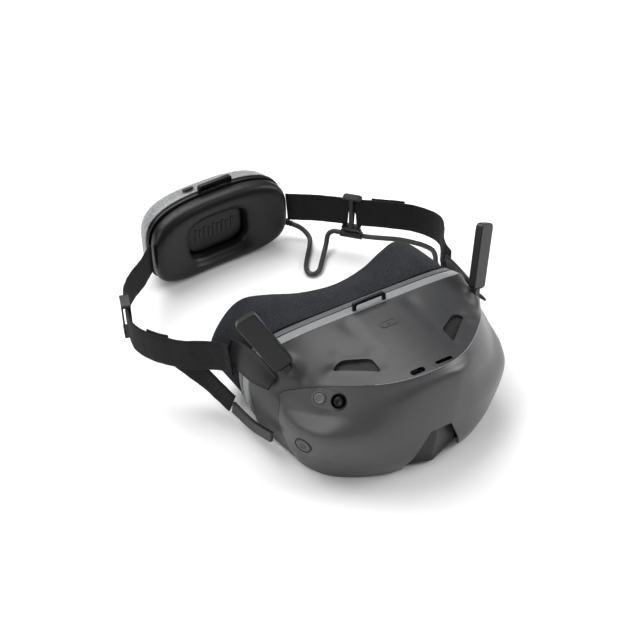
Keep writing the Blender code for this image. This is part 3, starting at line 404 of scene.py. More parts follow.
def carve(target, *cutters):
    """Cut tools out of the target and remove them; its bevel goes back on after the cuts."""
    bevels = [m for m in target.modifiers if m.type == "BEVEL"]
    kept = [(m.width, m.segments) for m in bevels]
    for m in bevels:
        target.modifiers.remove(m)
    for cutter in cutters:
        change = target.modifiers.new("cut", "BOOLEAN")
        change.operation = "DIFFERENCE"
        change.object = cutter
    applied(target)
    for cutter in cutters:
        bpy.data.objects.remove(cutter)
    for width, steps in kept:
        add_bevel(target, width / MM, steps)


# ---------------------------------------------------------------- materials
class Look:
    """A Principled material whose nodes are added by short calls."""

    def __init__(self, name, colour, roughness, metallic=0.0, **sockets):
        self.material = bpy.data.materials.new(name)
        self.material.use_nodes = True
        self.tree = self.material.node_tree
        self.shader = self.tree.nodes["Principled BSDF"]
        self.shader.inputs["Base Color"].default_value = (*colour, 1.0)
        self.shader.inputs["Roughness"].default_value = roughness
        self.shader.inputs["Metallic"].default_value = metallic
        for socket, value in sockets.items():
            self.shader.inputs[socket.replace("_", " ")].default_value = value
        self.material.diffuse_color = (*colour, 1.0)

    def node(self, kind, settings=None, **inputs):
        made = self.tree.nodes.new(f"ShaderNode{kind}")
        for key, value in (settings or {}).items():
            setattr(made, key, value)
        for key, value in inputs.items():
            socket = made.inputs[int(key[1:])] if key[1:].isdigit() else made.inputs[key.replace("_", " ")]
            if isinstance(value, bpy.types.NodeSocket):
                self.tree.links.new(value, socket)
            else:
                socket.default_value = value
        return made

    def link(self, output, socket):
        self.tree.links.new(output, self.shader.inputs[socket])

    def place(self):
        return self.node("TexCoord").outputs["Object"]

    def noise(self, size, detail=3.0, rough=0.55, where=None):
        """Noise whose grains are about size millimetres across."""
        return self.node("TexNoise", Vector=where or self.place(), Scale=1 / (size * MM), Detail=detail,
                         Roughness=rough).outputs["Fac"]

    def ramp(self, value, low, high, out_low, out_high):
        return self.node("MapRange", Value=value, From_Min=low, From_Max=high, To_Min=out_low,
                         To_Max=out_high).outputs["Result"]

    def math(self, operation, a, b=0.0):
        return self.node("Math", {"operation": operation}, _0=a, _1=b).outputs[0]

    def mix(self, share, a, b):
        made = self.node("Mix", {"data_type": "RGBA"})
        for k, value in ((0, share), (6, a), (7, b)):
            if isinstance(value, bpy.types.NodeSocket):
                self.tree.links.new(value, made.inputs[k])
            elif k:
                made.inputs[k].default_value = (*value, 1.0)
            else:
                made.inputs[k].default_value = value
        return made.outputs[2]

    def bump(self, height, strength, depth, under=None):
        made = self.node("Bump", Height=height, Strength=strength, Distance=depth * MM)
        if under is not None:
            self.tree.links.new(under, made.inputs["Normal"])
        return made.outputs["Normal"]


def tone(colour, factor):
    return tuple(min(c * factor, 1.0) for c in colour)


def moulded(name, colour, roughness, grain, size, mottle=0.05, spread=0.06, gloss=0.5):
    """Spark-eroded moulded plastic: fine grain, faint clouding, slightly uneven gloss."""
    look = Look(name, colour, roughness, Specular_IOR_Level=gloss)
    fine, cloud = look.noise(size), look.noise(14.0, 2.0)
    both = look.math("ADD", look.math("MULTIPLY", fine, 0.65), look.math("MULTIPLY", cloud, 0.35))
    look.link(look.mix(look.ramp(both, 0.3, 0.7, 0.0, 1.0), tone(colour, 1 - mottle * 2),
                       tone(colour, 1 + mottle * 2)), "Base Color")
    look.link(look.ramp(fine, 0.3, 0.7, roughness - spread, roughness + spread), "Roughness")
    look.link(look.bump(fine, grain, 0.06), "Normal")
    return look.material


def speckled(name, colour, roughness=0.42):
    """Silver-grey plastic with fine darker and lighter flecks."""
    look = Look(name, colour, roughness)
    fine, fleck = look.noise(0.5), look.noise(1.5, 4.0, 0.75)
    base = look.mix(look.ramp(fleck, 0.42, 0.62, 0.0, 1.0), tone(colour, 0.55), tone(colour, 1.5))
    look.link(look.mix(look.ramp(fine, 0.40, 0.62, 0.0, 0.7), base, tone(colour, 1.15)), "Base Color")
    look.link(look.ramp(fleck, 0.3, 0.7, roughness + 0.1, roughness - 0.08), "Roughness")
    look.link(look.bump(fine, 0.25, 0.05), "Normal")
    return look.material


def woven(name, colour, light, pitch=1.15, half=12.5):
    """Webbing: crossed yarns over the face and a bound edge; UVs are millimetres along and across."""
    look = Look(name, colour, 0.85, Specular_IOR_Level=0.12, Sheen_Weight=0.04, Sheen_Roughness=0.5)
    spot = look.node("SeparateXYZ", Vector=look.node("TexCoord").outputs["UV"])
    along, across = spot.outputs[0], spot.outputs[1]
    turn = 2 * math.pi / pitch
    slant = look.math("MULTIPLY", look.math("ADD", along, look.math("MULTIPLY", across, 0.55)), turn)
    warp = look.math("SINE", slant)
    weft = look.math("SINE", look.math("MULTIPLY", across, turn * 1.15))
    cross = look.math("MULTIPLY", warp, weft)
    edge = look.ramp(look.math("ABSOLUTE", across), half - 1.7, half - 1.3, 0.0, 1.0)
    border = look.math("SINE", look.math("MULTIPLY", along, turn * 0.9))
    height = look.math("ADD", look.math("MULTIPLY", cross, look.math("SUBTRACT", 1.0, edge)),
                       look.math("MULTIPLY", border, edge))
    fuzz = look.noise(0.55, 4.0, 0.7)
    tint = look.math("ADD", look.math("MULTIPLY", height, 0.35), look.math("MULTIPLY", fuzz, 0.9))
    look.link(look.mix(look.ramp(tint, 0.15, 0.95, 0.0, 1.0), colour, light), "Base Color")
    under = look.bump(fuzz, 0.25, 0.15)
    look.link(look.bump(height, 0.7, 0.22, under), "Normal")
    return look.material


def knitted(name, colour, light, size=1.0):
    """Fine knit over foam: small rounded stitches with brighter and darker yarns."""
    look = Look(name, colour, 0.95, Specular_IOR_Level=0.1, Sheen_Weight=0.06, Sheen_Roughness=0.45)
    place = look.place()
    cells = look.node("TexVoronoi", {"feature": "SMOOTH_F1"}, Vector=place, Scale=1 / (size * MM),
                      Smoothness=0.6, Randomness=0.75).outputs["Distance"]
    yarn, cloud = look.noise(0.7, 4.0, 0.75), look.noise(22.0, 2.0)
    tint = look.math("ADD", look.math("MULTIPLY", yarn, 1.0), look.math("MULTIPLY", cells, -0.35))
    tint = look.math("ADD", tint, look.math("MULTIPLY", cloud, 0.25))
    look.link(look.mix(look.ramp(tint, 0.2, 0.75, 0.0, 1.0), colour, light), "Base Color")
    under = look.bump(yarn, 0.35, 0.2)
    look.link(look.bump(cells, -0.55, 0.25, under), "Normal")
    return look.material


def leathery(name, colour, roughness=0.36):
    """Soft satin skin with a fine pebble grain."""
    look = Look(name, colour, roughness, Specular_IOR_Level=0.3)
    place = look.place()
    cells = look.node("TexVoronoi", {"feature": "SMOOTH_F1"}, Vector=place, Scale=1 / (1.5 * MM),
                      Smoothness=0.4).outputs["Distance"]
    fine = look.noise(0.6)
    tints = tone(colour, 0.8), tone(colour, 1.25)
    look.link(look.mix(look.ramp(fine, 0.3, 0.7, 0.0, 1.0), *tints), "Base Color")
    look.link(look.ramp(cells, 0.0, 0.8, roughness - 0.05, roughness + 0.10), "Roughness")
    look.link(look.bump(cells, 0.25, 0.12, look.bump(fine, 0.12, 0.05)), "Normal")
    return look.material


def metal(name, colour, roughness=0.3):
    """Turned or drawn metal with fine scratches."""
    look = Look(name, colour, roughness, 1.0)
    stretched = look.node("Mapping", Vector=look.place(), Scale=(1.0, 1.0, 14.0)).outputs[0]
    lines = look.noise(0.5, 3.0, 0.6, stretched)
    look.link(look.ramp(lines, 0.3, 0.7, roughness - 0.08, roughness + 0.1), "Roughness")
    look.link(look.bump(lines, 0.1, 0.02), "Normal")
    return look.material


def clear(name, tint, roughness=0.03):
    """Coated lens glass."""
    look = Look(name, tint, roughness, Transmission_Weight=0.92, IOR=1.49, Coat_Weight=0.6)
    cloud = look.noise(30.0, 2.0)
    look.link(look.ramp(cloud, 0.3, 0.7, roughness, roughness + 0.03), "Roughness")
    return look.material


grey = moulded("visor_grey", (0.050, 0.0505, 0.0525), 0.32, grain=0.10, size=0.5, mottle=0.02,
               spread=0.03, gloss=0.45)
deck_grey = moulded("housing_grey", (0.029, 0.0294, 0.031), 0.42, grain=0.2, size=0.6, gloss=0.35)
ledge_grey = moulded("ledge_grey", (0.085, 0.086, 0.089), 0.36, grain=0.12, size=0.5, mottle=0.04)
nose_grey = moulded("nose_grey", (0.030, 0.031, 0.032), 0.42, grain=0.2, size=0.6, gloss=0.3)
band_grey = moulded("band_grey", (0.20, 0.203, 0.21), 0.38, grain=0.25, size=0.8, mottle=0.05)
strip_grey = moulded("strip_grey", (0.075, 0.077, 0.081), 0.42, grain=0.25, size=0.7, mottle=0.06)
plate_grey = moulded("plate_grey", (0.12, 0.122, 0.126), 0.36, grain=0.15, size=0.5)
side_grey = moulded("side_grey", (0.0075, 0.0078, 0.0084), 0.44, grain=0.2, size=0.6, gloss=0.35)
antenna_grey = moulded("antenna_grey", (0.011, 0.0113, 0.0121), 0.36, grain=0.18, size=0.6, gloss=0.3)
dark = moulded("dark_plastic", (0.012, 0.0123, 0.0132), 0.4, grain=0.2, size=0.6, gloss=0.3)
black = moulded("black_plastic", (0.006, 0.006, 0.0066), 0.36, grain=0.15, size=0.6, gloss=0.3)
arm_rubber = moulded("arm_rubber", (0.006, 0.006, 0.0068), 0.48, grain=0.25, size=0.8, gloss=0.25)
mesh_black = moulded("vent_wire", (0.014, 0.0145, 0.0135), 0.6, grain=0.2, size=0.5)
mark_dark = moulded("mark_dark", (0.012, 0.0122, 0.013), 0.4, grain=0.1, size=0.5)
silver_speckle = speckled("silver_speckle", (0.22, 0.223, 0.228))
satin = leathery("satin_pad", (0.004, 0.004, 0.0043))
knit = knitted("knit_foam", (0.003, 0.0032, 0.0038), (0.034, 0.035, 0.041))
webbing = woven("webbing", (0.004, 0.004, 0.0044), (0.028, 0.028, 0.0305))
narrow_webbing = woven("narrow_webbing", (0.003, 0.003, 0.0033), (0.018, 0.018, 0.0195), half=10.0)
cable_skin = moulded("cable_skin", (0.016, 0.016, 0.017), 0.5, grain=0.15, size=0.8)
glass = clear("lens_glass", (0.86, 0.9, 0.93))
screen = moulded("screen", (0.006, 0.006, 0.009), 0.12, grain=0.02, size=0.5, mottle=0.02, spread=0.02)
board_green = moulded("circuit_board", (0.01, 0.075, 0.035), 0.4, grain=0.2, size=0.6)
aluminium = metal("aluminium", (0.72, 0.72, 0.74), 0.34)
steel = metal("steel", (0.55, 0.55, 0.56), 0.28)
cell_wrap = moulded("cell_wrap", (0.03, 0.12, 0.24), 0.35, grain=0.1, size=1.0)


# ---------------------------------------------------------------- camera and cord
CAMERA_PLACE = (-352.81, -488.52, 613.72)
CAMERA_AZIMUTH, CAMERA_ELEVATION, CAMERA_LENS = -31.0, 41.0, 70.0


def add_camera():
    """Camera at the azimuth and elevation from which the goggles are seen, looking straight along them."""
    data = bpy.data.cameras.new("camera")
    data.lens, data.sensor_width = CAMERA_LENS, 36.0
    data.clip_start, data.clip_end = 0.01, 20.0
    camera = bpy.data.objects.new("camera", data)
    bpy.context.scene.collection.objects.link(camera)
    camera.location = (Vector(CAMERA_PLACE) + ORIGIN) * MM
    a, e = math.radians(CAMERA_AZIMUTH), math.radians(CAMERA_ELEVATION)
    back = Vector((math.sin(a) * math.cos(e), -math.cos(a) * math.cos(e), math.sin(e)))
    camera.rotation_euler = (-back).to_track_quat("-Z", "Y").to_euler()
    bpy.context.scene.camera = camera


def route_length(route, count=400):
    points = [curve(route, k / count) for k in range(count + 1)]
    return sum((b - a).length for a, b in zip(points, points[1:]))


def make_cable():
    """Battery cable on its route, with a ribbed boot at each gland."""
    cable = tube("battery_lead", CABLE_ROUTE, CABLE_DIAMETER / 2, cable_skin, count=220,
                 stands_for="battery_cable", slot="black_plastic")
    (Vector(CABLE_ROUTE[0]) + ORIGIN) * MM
    route_length(CABLE_ROUTE) * MM
    for name, root, tip in (("cable_gland_battery", GLAND_ROOT, CABLE_ROUTE[0]),
                            ("cable_gland_visor", CABLE_SOCKET, CABLE_ROUTE[-1])):
        reach = (Vector(tip) - Vector(root)).length - GAP
        start = 3.4 if name.endswith("battery") else 2.9
        profile = [(0, 0), (start, 0), (start, 2.2)]
        step = (reach - 3.4) / BOOT_RIBS
        for k in range(BOOT_RIBS):
            z = 2.6 + (reach - 3.4) * k / BOOT_RIBS
            r = start - 0.5 - 0.25 * k
            groove = r - 0.45
            profile += [(groove, z), (groove, z + 0.28 * step), (r, z + 0.36 * step), (r, z + 0.92 * step)]
        profile += [(2.4, reach - 0.5), (2.2, reach), (0, reach)]
        turned(f"{name}_boot", profile, black, placer(root, frame_of(Vector(tip) - Vector(root))),
               sides=32, stands_for=name, slot="black_plastic", bevel=0.15, bevel_steps=2)


# ---------------------------------------------------------------- visor front shell
CREASE_STARTS, CREASE_FULL, CREASE_FADES, CREASE_ENDS = 24.0, 36.0, 64.0, 80.0
FACET_TOP, FACET_FOOT, FACET_RISE, FACET_REACH = 17.5, 8.0, 0.4, 8.0


def crease_share(x):
    """How sharp the brow crease is at a distance from the middle."""
    return 0.5 * ease(x, CREASE_STARTS, CREASE_FULL) * (1 - ease(x, CREASE_FADES, CREASE_ENDS))


def shell_point(u, v):
    """Outer face, right half: u from the middle to the corner, v from seam to hem, with its creases."""
    p = browed_point(u, v)
    share = ease(v, 0.0, 0.3) * ease(p.z, 24.0, 44.0)
    if share > 0 and p.x < 45:
        edge = FACET_FOOT + (FACET_TOP - FACET_FOOT) * ease(p.z, 38.0, 82.0)
        p -= inward(p) * FACET_RISE * share * math.exp(-abs(p.x - edge) / FACET_REACH)
    return p


def browed_point(u, v):
    """Point on the shell's rows, bent more sharply along the brow where the crease has its share."""
    rows = [curve(row, u, True) for row in SHELL_ROWS]
    smooth = curve(rows, v)
    share = crease_share(rows[1].x)
    row_gap = 1 / (len(SHELL_ROWS) - 1)
    if share <= 0 or v >= 2 * row_gap:
        return smooth
    a, b, c, d = rows[:4]
    turn = (c - a) / 2
    if v < row_gap:
        start, end, leave, meet = a, b, b - a, turn.lerp(b - a, share)
        f = v / row_gap
    else:
        start, end, leave, meet = b, c, turn.lerp(c - b, share), (d - b) / 2
        f = (v - row_gap) / row_gap
    return (start * (2 * f ** 3 - 3 * f ** 2 + 1) + leave * (f ** 3 - 2 * f ** 2 + f)
            + end * (3 * f ** 2 - 2 * f ** 3) + meet * (f ** 3 - f ** 2))


def inward(p):
    """Direction from the outside of the visor towards its inner spine."""
    return (Vector((0.45 * p[0], 14.0, 38.0)) - Vector(p)).normalized()


def notch_height(x):
    """Height of the nose notch's edge at a distance from the middle."""
    if abs(x) > NOTCH_FOOT_X:
        return -1.0
    if abs(x) <= NOTCH_TOP_X:
        return NOTCH_TOP_Z
    share = (abs(x) - NOTCH_TOP_X) / (NOTCH_FOOT_X - NOTCH_TOP_X)
    return NOTCH_TOP_Z + share * (NOTCH_FOOT_Z - NOTCH_TOP_Z)


def halved(test, low, high, rounds=26):
    """Value between low and high where test turns from true to false."""
    for _ in range(rounds):
        mid = (low + high) / 2
        low, high = (mid, high) if test(mid) else (low, mid)
    return low


def hem_v(u):
    """Where the shell ends on a column: the hem, or the edge of the notch."""
    if abs(shell_point(u, 1.0).x) > NOTCH_FOOT_X:
        return 1.0

    def above(v):
        p = shell_point(u, v)
        return p.z > notch_height(min(abs(p.x), NOTCH_FOOT_X))

    return halved(above, 0.3, 1.0)


def u_at_x(x, v):
    """Column of the shell that is at x on row v."""
    return halved(lambda u: shell_point(u, v).x < x, 0.0, 1.0)


def shell_stations():
    """Columns of the right half, with one at each corner of the notch."""
    foot = u_at_x(NOTCH_FOOT_X, 0.97)
    top = u_at_x(NOTCH_TOP_X, 0.45)
    inner = [top * k / 6 for k in range(6)] + [top + (foot - 0.002 - top) * k / 9 for k in range(10)]
    return inner + [foot + 0.004 + (1 - foot - 0.004) * k / 44 for k in range(45)]


def make_front_shell(stations):
    """Front cover with its control and power openings, and a painted highlight along the seam: a thin
    light-grey tube for the light caught on the shell's edge.
    """
    steps = 60
    right = [[shell_point(u, hem_v(u) * k / steps) for k in range(steps + 1)] for u in stations]
    outer = [[mirror(p) for p in column] for column in reversed(right[1:])] + right
    inner = [[p + inward(p) * WALL for p in column] for column in outer]
    shell = sheet_body("visor_front", outer, inner, grey, stands_for="front_shell", slot="moulded_grey",
                       smooth=45, bevel=0.45)
    panel = frame_of(PANEL_NORMAL, along=Vector(JOYSTICK_CENTRE) - Vector(SHORTCUT_CENTRE))
    centre = (Vector(SHORTCUT_CENTRE) + Vector(JOYSTICK_CENTRE)) / 2
    cutter = prism("plate_cutter", rounded(12.7, 23.3, 6.15), -6, 8, None, placer(centre, panel),
                   body=None)
    power = prism("power_cutter", disc(POWER_R + 0.35), -6, 8, None,
                  placer(POWER_CENTRE, frame_of(POWER_NORMAL)), body=None)
    carve(shell, cutter, power)
    # Painted highlight: a thin light-grey tube along the seam stands in for the light caught on the shell's
    # edge.
    seam = [front_edge(SEAM_SHARE * u) + Vector((0, 0.15, 0.05)) for u in (k / 40 for k in range(41))]
    line = [mirror(p) for p in reversed(seam[1:14])] + seam
    tube("seam_highlight", line, 0.22, band_grey, sides=2, slot="light_trim")
    return panel, centre


def make_nose_panel():
    """V-shaped panel set back in the notch."""
    outer, rows = [], 24
    for k in range(rows + 1):
        z = NOSE_TOP - k * NOSE_HEIGHT / rows
        fallen = (NOTCH_TOP_Z - z) / (NOTCH_TOP_Z - NOTCH_FOOT_Z)
        width = NOTCH_TOP_X + fallen * (NOTCH_FOOT_X - NOTCH_TOP_X)
        width = min(max(width, NOTCH_TOP_X), NOTCH_FOOT_X)
        v = min(0.5 + 0.5 * (46 - z) / 42, 0.96)
        rim, ridge = shell_point(u_at_x(width, v), v), shell_point(0.0, v)
        prow, side = ridge.y + 0.3 + z / 11.4, rim.y + NOSE_SET_BACK
        outer.append([Vector((s * (width + 1.4) / 2, prow + (side - prow) * (s * s + 0.004) ** 0.5 / 2, z))
                      for s in [n / 8 for n in range(-16, 17)]])
    inner = [[p + Vector((0, NOSE_THICK, 0)) for p in row] for row in outer]
    sheet_body("nose_recess", outer, inner, nose_grey, stands_for="nose_panel", slot="dark_plastic",
               bevel=0.2)


# ---------------------------------------------------------------- housing behind the seam
VENT_DIP, VENT_DIP_REACH = 0.45, 4.0
HOLLOWS = [(26.5, -24.5, 5.0, 1.1), (54.5, -3.0, 5.5, 1.3), (24.5, -6.5, 4.5, 0.7), (44.5, 5.5, 4.0, 0.5)]
SHOULDER, SHOULDER_REACH = 6.0, 9.0
DECK_FOOT = 52.0


def outline_distance(outline, x, y):
    """Distance from a point to a polygon, zero inside."""
    best, inside = 1e9, False
    for (ax, ay), (bx, by) in zip(outline, outline[1:] + outline[:1]):
        dx, dy = bx - ax, by - ay
        t = min(max(((x - ax) * dx + (y - ay) * dy) / (dx * dx + dy * dy), 0.0), 1.0)
        best = min(best, math.hypot(x - ax - t * dx, y - ay - t * dy))
        if (ay > y) != (by > y) and x < ax + (y - ay) / dy * dx:
            inside = not inside
    return 0.0 if inside else best


def front_edge(q):
    """Edge shared by shell and housing: along the seam, then down the shell's rear corner."""
    if q < SEAM_SHARE:
        return shell_point(q / SEAM_SHARE, 0.0)
    return shell_point(1.0, (q - SEAM_SHARE) / (1 - SEAM_SHARE))


def housing_point(q, w):
    """Outer face: q from the top middle round the side to the bottom, w front to rear."""
    front = front_edge(q)
    middle, rear = curve(HOUSING_MIDDLE, q, True), curve(HOUSING_REAR, q, True)
    front += (middle - front).normalized() * GAP
    p = curve([front, middle, rear], w)
    reach = math.hypot(abs(p.x) - ANTENNA_FOOT.x, p.y - ANTENNA_FOOT.y + 2.0) / SHOULDER_REACH
    rise = SHOULDER * math.exp(-reach ** 3) * deck_share(w, p.z)
    return p + inward(p) * housing_depth(abs(p.x), p.y, w, p.z) + Vector((0, 0, rise))


def deck_share(w, z):
    """One on the open deck, easing to none at its edges and below the shoulder."""
    return ease(w, 0.0, 0.12) * (1 - ease(w, 0.93, 1.0)) * ease(z, DECK_FOOT, DECK_FOOT + 8)


def housing_depth(x, y, w, z):
    """How far the deck lies under its plain surface: hollows round the vents, beside the loop and ports."""
    if z < DECK_FOOT:
        return 0.0
    hollows = sum(deep * math.exp(-((x - hx) ** 2 + (y - hy) ** 2) / wide ** 2)
                  for hx, hy, wide, deep in HOLLOWS)
    vent = VENT_DIP * (1 - ease(outline_distance(VENT, x, y), 0.0, VENT_DIP_REACH))
    plateau = -0.55 * (1 - ease(x, 15.0, 24.0)) * ease(y, -22.0, -8.0)
    valley = 0.9 * math.exp(-((x - 24.5) / 5.5) ** 2) * ease(y, 4.0, 26.0)
    ports = 0.5 * (1 - ease(x, 20.0, 27.0)) * (1 - ease(y, -31.0, -24.0)) * ease(y, -41.0, -37.0)
    return deck_share(w, z) * (vent + plateau + valley + ports + hollows)


def make_housing(stations):
    qs = [SEAM_SHARE * u for u in stations]
    qs += [SEAM_SHARE + (1 - SEAM_SHARE) * k / 30 for k in range(1, 30)] + [0.985]
    steps = 44
    right = [[housing_point(q, k / steps) for k in range(steps + 1)] for q in qs]
    outer = [[mirror(p) for p in column] for column in reversed(right[1:])] + right
    inner = [[p + inward(p) * WALL for p in column] for column in outer]
    housing = sheet_body("visor_housing", outer, inner, deck_grey, stands_for="top_housing",
                         slot="moulded_grey", smooth=45, bevel=0.3, bevel_steps=2)
    cutters = []
    for side in (-1, 1):
        outline = round_corners([(side * x, y) for x, y in VENT], VENT_CORNERS)
        cutters.append(prism(sided("vent_cutter", side), outline, 60, 90, None, body=None))
    deck = frame_of(PORT_NORMAL, along=(0, 1, 0))
    usb, card = placer(USB_PLACE, deck), placer(CARD_PLACE, deck)
    cutters.append(prism("usb_cutter", rounded(10.2, 4.0, 1.9), -6, 6, None, usb, body=None))
    cutters.append(prism("card_cutter", rounded(13.2, 2.6, 1.1), -6, 6, None, card, body=None))
    carve(housing, *cutters)
    make_port("usb_socket", usb, rounded(9.2, 3.2, 1.5), rounded(8.4, 2.4, 1.15), 8, steel,
              stands_for="usb_port", slot="steel")
    prism("usb_tongue", rounded(6.4, 0.8, 0.3), -7, -1.6, black, usb)
    make_port("card_slot", card, rounded(12.4, 2.0, 0.8), rounded(11.2, 1.0, 0.4), 9, black,
              stands_for="card_reader", slot="black_plastic")
    make_mark()


def make_port(name, place, outer, inner, depth, look, **options):
    """Socket liner: a ring between two outlines, set just under the deck."""
    ring = [[place((x, y, h)) for x, y in outline] for outline, h in
            ((outer, -depth), (outer, -0.9), (inner, -0.8), (inner, 1 - depth))]
    lofted(name, ring, look, along=True, bevel=0.1, **options)


def make_mark():
    """Plain raised badge on the deck: a round lens sign in a rounded frame."""
    centre = housing_point(0.005, 0.52)
    height = housing_point(0.005, 0.70).z + 0.1
    deck = placer((-1.0, centre.y + 14.4, height), frame_of((0.0, 0.03, 1), along=(0, 1, 0)))
    outer, inner = rounded(13.0, 6.6, 2.2), rounded(8.6, 3.6, 1.2)
    rim = [[deck((x, y, h)) for x, y in outline] for outline, h in
           ((outer, -0.5), (outer, 0.12), (inner, 0.12), (inner, -0.5))]
    lofted("badge_frame", rim, mark_dark, along=True, bevel=0.04, bevel_steps=1)
    turned("badge_dot", [(0, -0.5), (1.5, -0.5), (1.5, 0.12), (0, 0.12)], mark_dark, deck)


def make_vents():
    """Woven wire grille under each vent opening."""
    pitch, wire, sunk = 1.25, 0.2, 2.2
    for side in (-1, 1):
        middle = sum((Vector(p) for p in VENT_DECK), Vector()) / 4
        wide = [middle + (Vector(p) - middle) * 1.04 for p in VENT_DECK]
        outline = [(side * p.x, p.y) for p in wide]
        a, b, c, d = (Vector(p) for p in VENT_DECK)
        normal = (c - a).cross(d - b)
        normal = normal if normal.z > 0 else -normal

        def height(x, y):
            slope = (normal.x * (abs(x) - middle.x) + normal.y * (y - middle.y)) / normal.z
            return middle.z - sunk - slope

        vertices, faces = [], []
        low = [min(p[k] for p in outline) for k in (0, 1)]
        high = [max(p[k] for p in outline) for k in (0, 1)]
        for axis in (0, 1):
            for k in range(int((high[axis] - low[axis]) / pitch) + 1):
                fixed = low[axis] + k * pitch
                steps = int((high[1 - axis] - low[1 - axis]) / (pitch / 2))
                run = []
                for s in range(steps + 1):
                    moving = low[1 - axis] + s * pitch / 2
                    x, y = (fixed, moving) if axis == 0 else (moving, fixed)
                    if outline_distance(outline, x, y) == 0:
                        wave = 0.14 * math.cos(math.pi * (s + k + axis))
                        run.append(Vector((x, y, height(x, y) + wave)))
                if len(run) < 3:
                    continue
                across = X if axis == 0 else Y
                base = len(vertices)
                for p in run:
                    vertices += [p + across * wire, p + Z * wire, p - across * wire, p - Z * wire]
                faces += grid_faces(len(run), 4, around=True, offset=base)
                faces += [(base + 3, base + 2, base + 1, base),
                          tuple(base + (len(run) - 1) * 4 + j for j in range(4))]
        body_of(sided("vent_grille", side), vertices, faces, mesh_black,
                stands_for=sided("vent_mesh", side), slot="black_plastic", smooth=80)
        # Painted shade: a black sheet just under each grille stands in for the shade inside the vent.
        floor = [[Vector((x, y, height(x, y) - 1.0 - d)) for x, y in outline] for d in (0.6, 0.0)]
        lofted(sided("vent_shade_sheet", side), floor, black)


# ---------------------------------------------------------------- trim, foam, optics
def ring_loop(half, steps):
    """Closed loop of points from a right half that starts and ends on x = 0."""
    right = [curve(half, k / steps, True) for k in range(steps + 1)]
    return right + [mirror(p) for p in reversed(right[1:-1])]


def make_trim():
    """Light band behind the housing, a groove, and a narrower darker strip up to the foam."""
    steps = 60
    front = [p + Vector((0, 0.9, 0)) for p in ring_loop(TRIM_FRONT, steps)]
    rear = ring_loop(TRIM_REAR, steps)

    def band(name, start, end, sink, look, **options):
        grid = []
        for a, b in zip(front, rear):
            p, q = a.lerp(b, start), a.lerp(b, end)
            lift = Vector((0, 0, 0.4 if a.z > 60 else 0.0))
            mid = (p + q) / 2 + lift * 0.6
            grid.append([r + inward(r) * d for r, d in
                         ((p, sink), (mid, sink), (q, sink), (q, sink + 2.6), (p, sink + 2.6))])
        lofted(name, grid, look, along=True, smooth=30, bevel=0.35, **options)

    band("trim_band", 0.0, 0.56, 0.0, band_grey, stands_for="rear_trim", slot="light_trim")
    band("trim_strip", 0.67, 1.0, 0.2, strip_grey, slot="light_trim")
    band("trim_groove", 0.52, 0.72, 1.2, black, slot="black_plastic")


def blown(obj, pressure, cap, pinned, frames=16):
    """Swell a padded piece with a short cloth simulation and cap how far each point moves."""
    rest = [v.co.copy() for v in obj.data.vertices]
    group = obj.vertex_groups.new(name="held")
    for v in obj.data.vertices:
        hold = pinned(v.co / MM - ORIGIN)
        if hold > 0:
            group.add([v.index], hold, "REPLACE")
    cloth = obj.modifiers.new("cloth", "CLOTH")
    settings = cloth.settings
    settings.quality = 5
    settings.mass = 0.2
    settings.tension_stiffness = settings.compression_stiffness = 12
    settings.bending_stiffness = 3
    settings.use_pressure = True
    settings.uniform_pressure_force = pressure
    settings.vertex_group_mass = "held"
    settings.effector_weights.gravity = 0
    cloth.collision_settings.use_collision = False
    cloth.point_cache.frame_start, cloth.point_cache.frame_end = 1, frames
    scene = bpy.context.scene
    for number in range(1, frames + 1):
        scene.frame_set(number)
    applied(obj)
    scene.frame_set(1)
    for v, was in zip(obj.data.vertices, rest):
        moved = v.co - was
        if moved.length > cap * MM:
            v.co = was + moved.normalized() * cap * MM
    obj.data.shade_smooth()


def make_foam():
    """Padded ring round the eyes, from the trim's rear edge over a soft crest to the eye opening."""
    steps = 44
    front = [p + Vector((0, 0.7, 0)) + inward(p) * 1.4 for p in ring_loop(TRIM_REAR, steps)]
    loops = [ring_loop(points, steps) for points in (FOAM_RIDGE, FOAM_EYE_REAR, FOAM_EYE_FRONT)]
    grid = []
    for a, b, c, d in zip(front, *loops):
        bulge = Vector((0, 0, 0.6 if a.z > 50 else 0))
        back = (b + c) / 2 + Vector((0, 2.4, 0))
        column = [a, a.lerp(b, 0.25) + bulge, a.lerp(b, 0.5) + bulge * 1.6, a.lerp(b, 0.76) + bulge,
                  a.lerp(b, 0.97), b.lerp(back, 0.28) + Vector((0, 1.3, 0)), back,
                  c.lerp(back, 0.3) + Vector((0, 1.3, 0)), c, c.lerp(d, 0.35), c.lerp(d, 0.7), d,
                  d.lerp(a, 0.35), d.lerp(a, 0.75)]
        grid.append(column)
    foam = lofted("face_pad", grid, knit, along=True, smooth=180, stands_for="face_foam", slot="knit_foam")

    def held(p):
        return 1.0 if p.y < 62 else 0.0

    blown(foam, 3.0, 2.0, held)
    add_rounding(foam)
    seam = []
    for a, b in zip(front, loops[0]):
        p = a.lerp(b, 0.045)
        seam.append(p - inward(p) * 0.35)
    tube("foam_piping", seam, 0.5, knit, closed=True, slot="knit_foam")


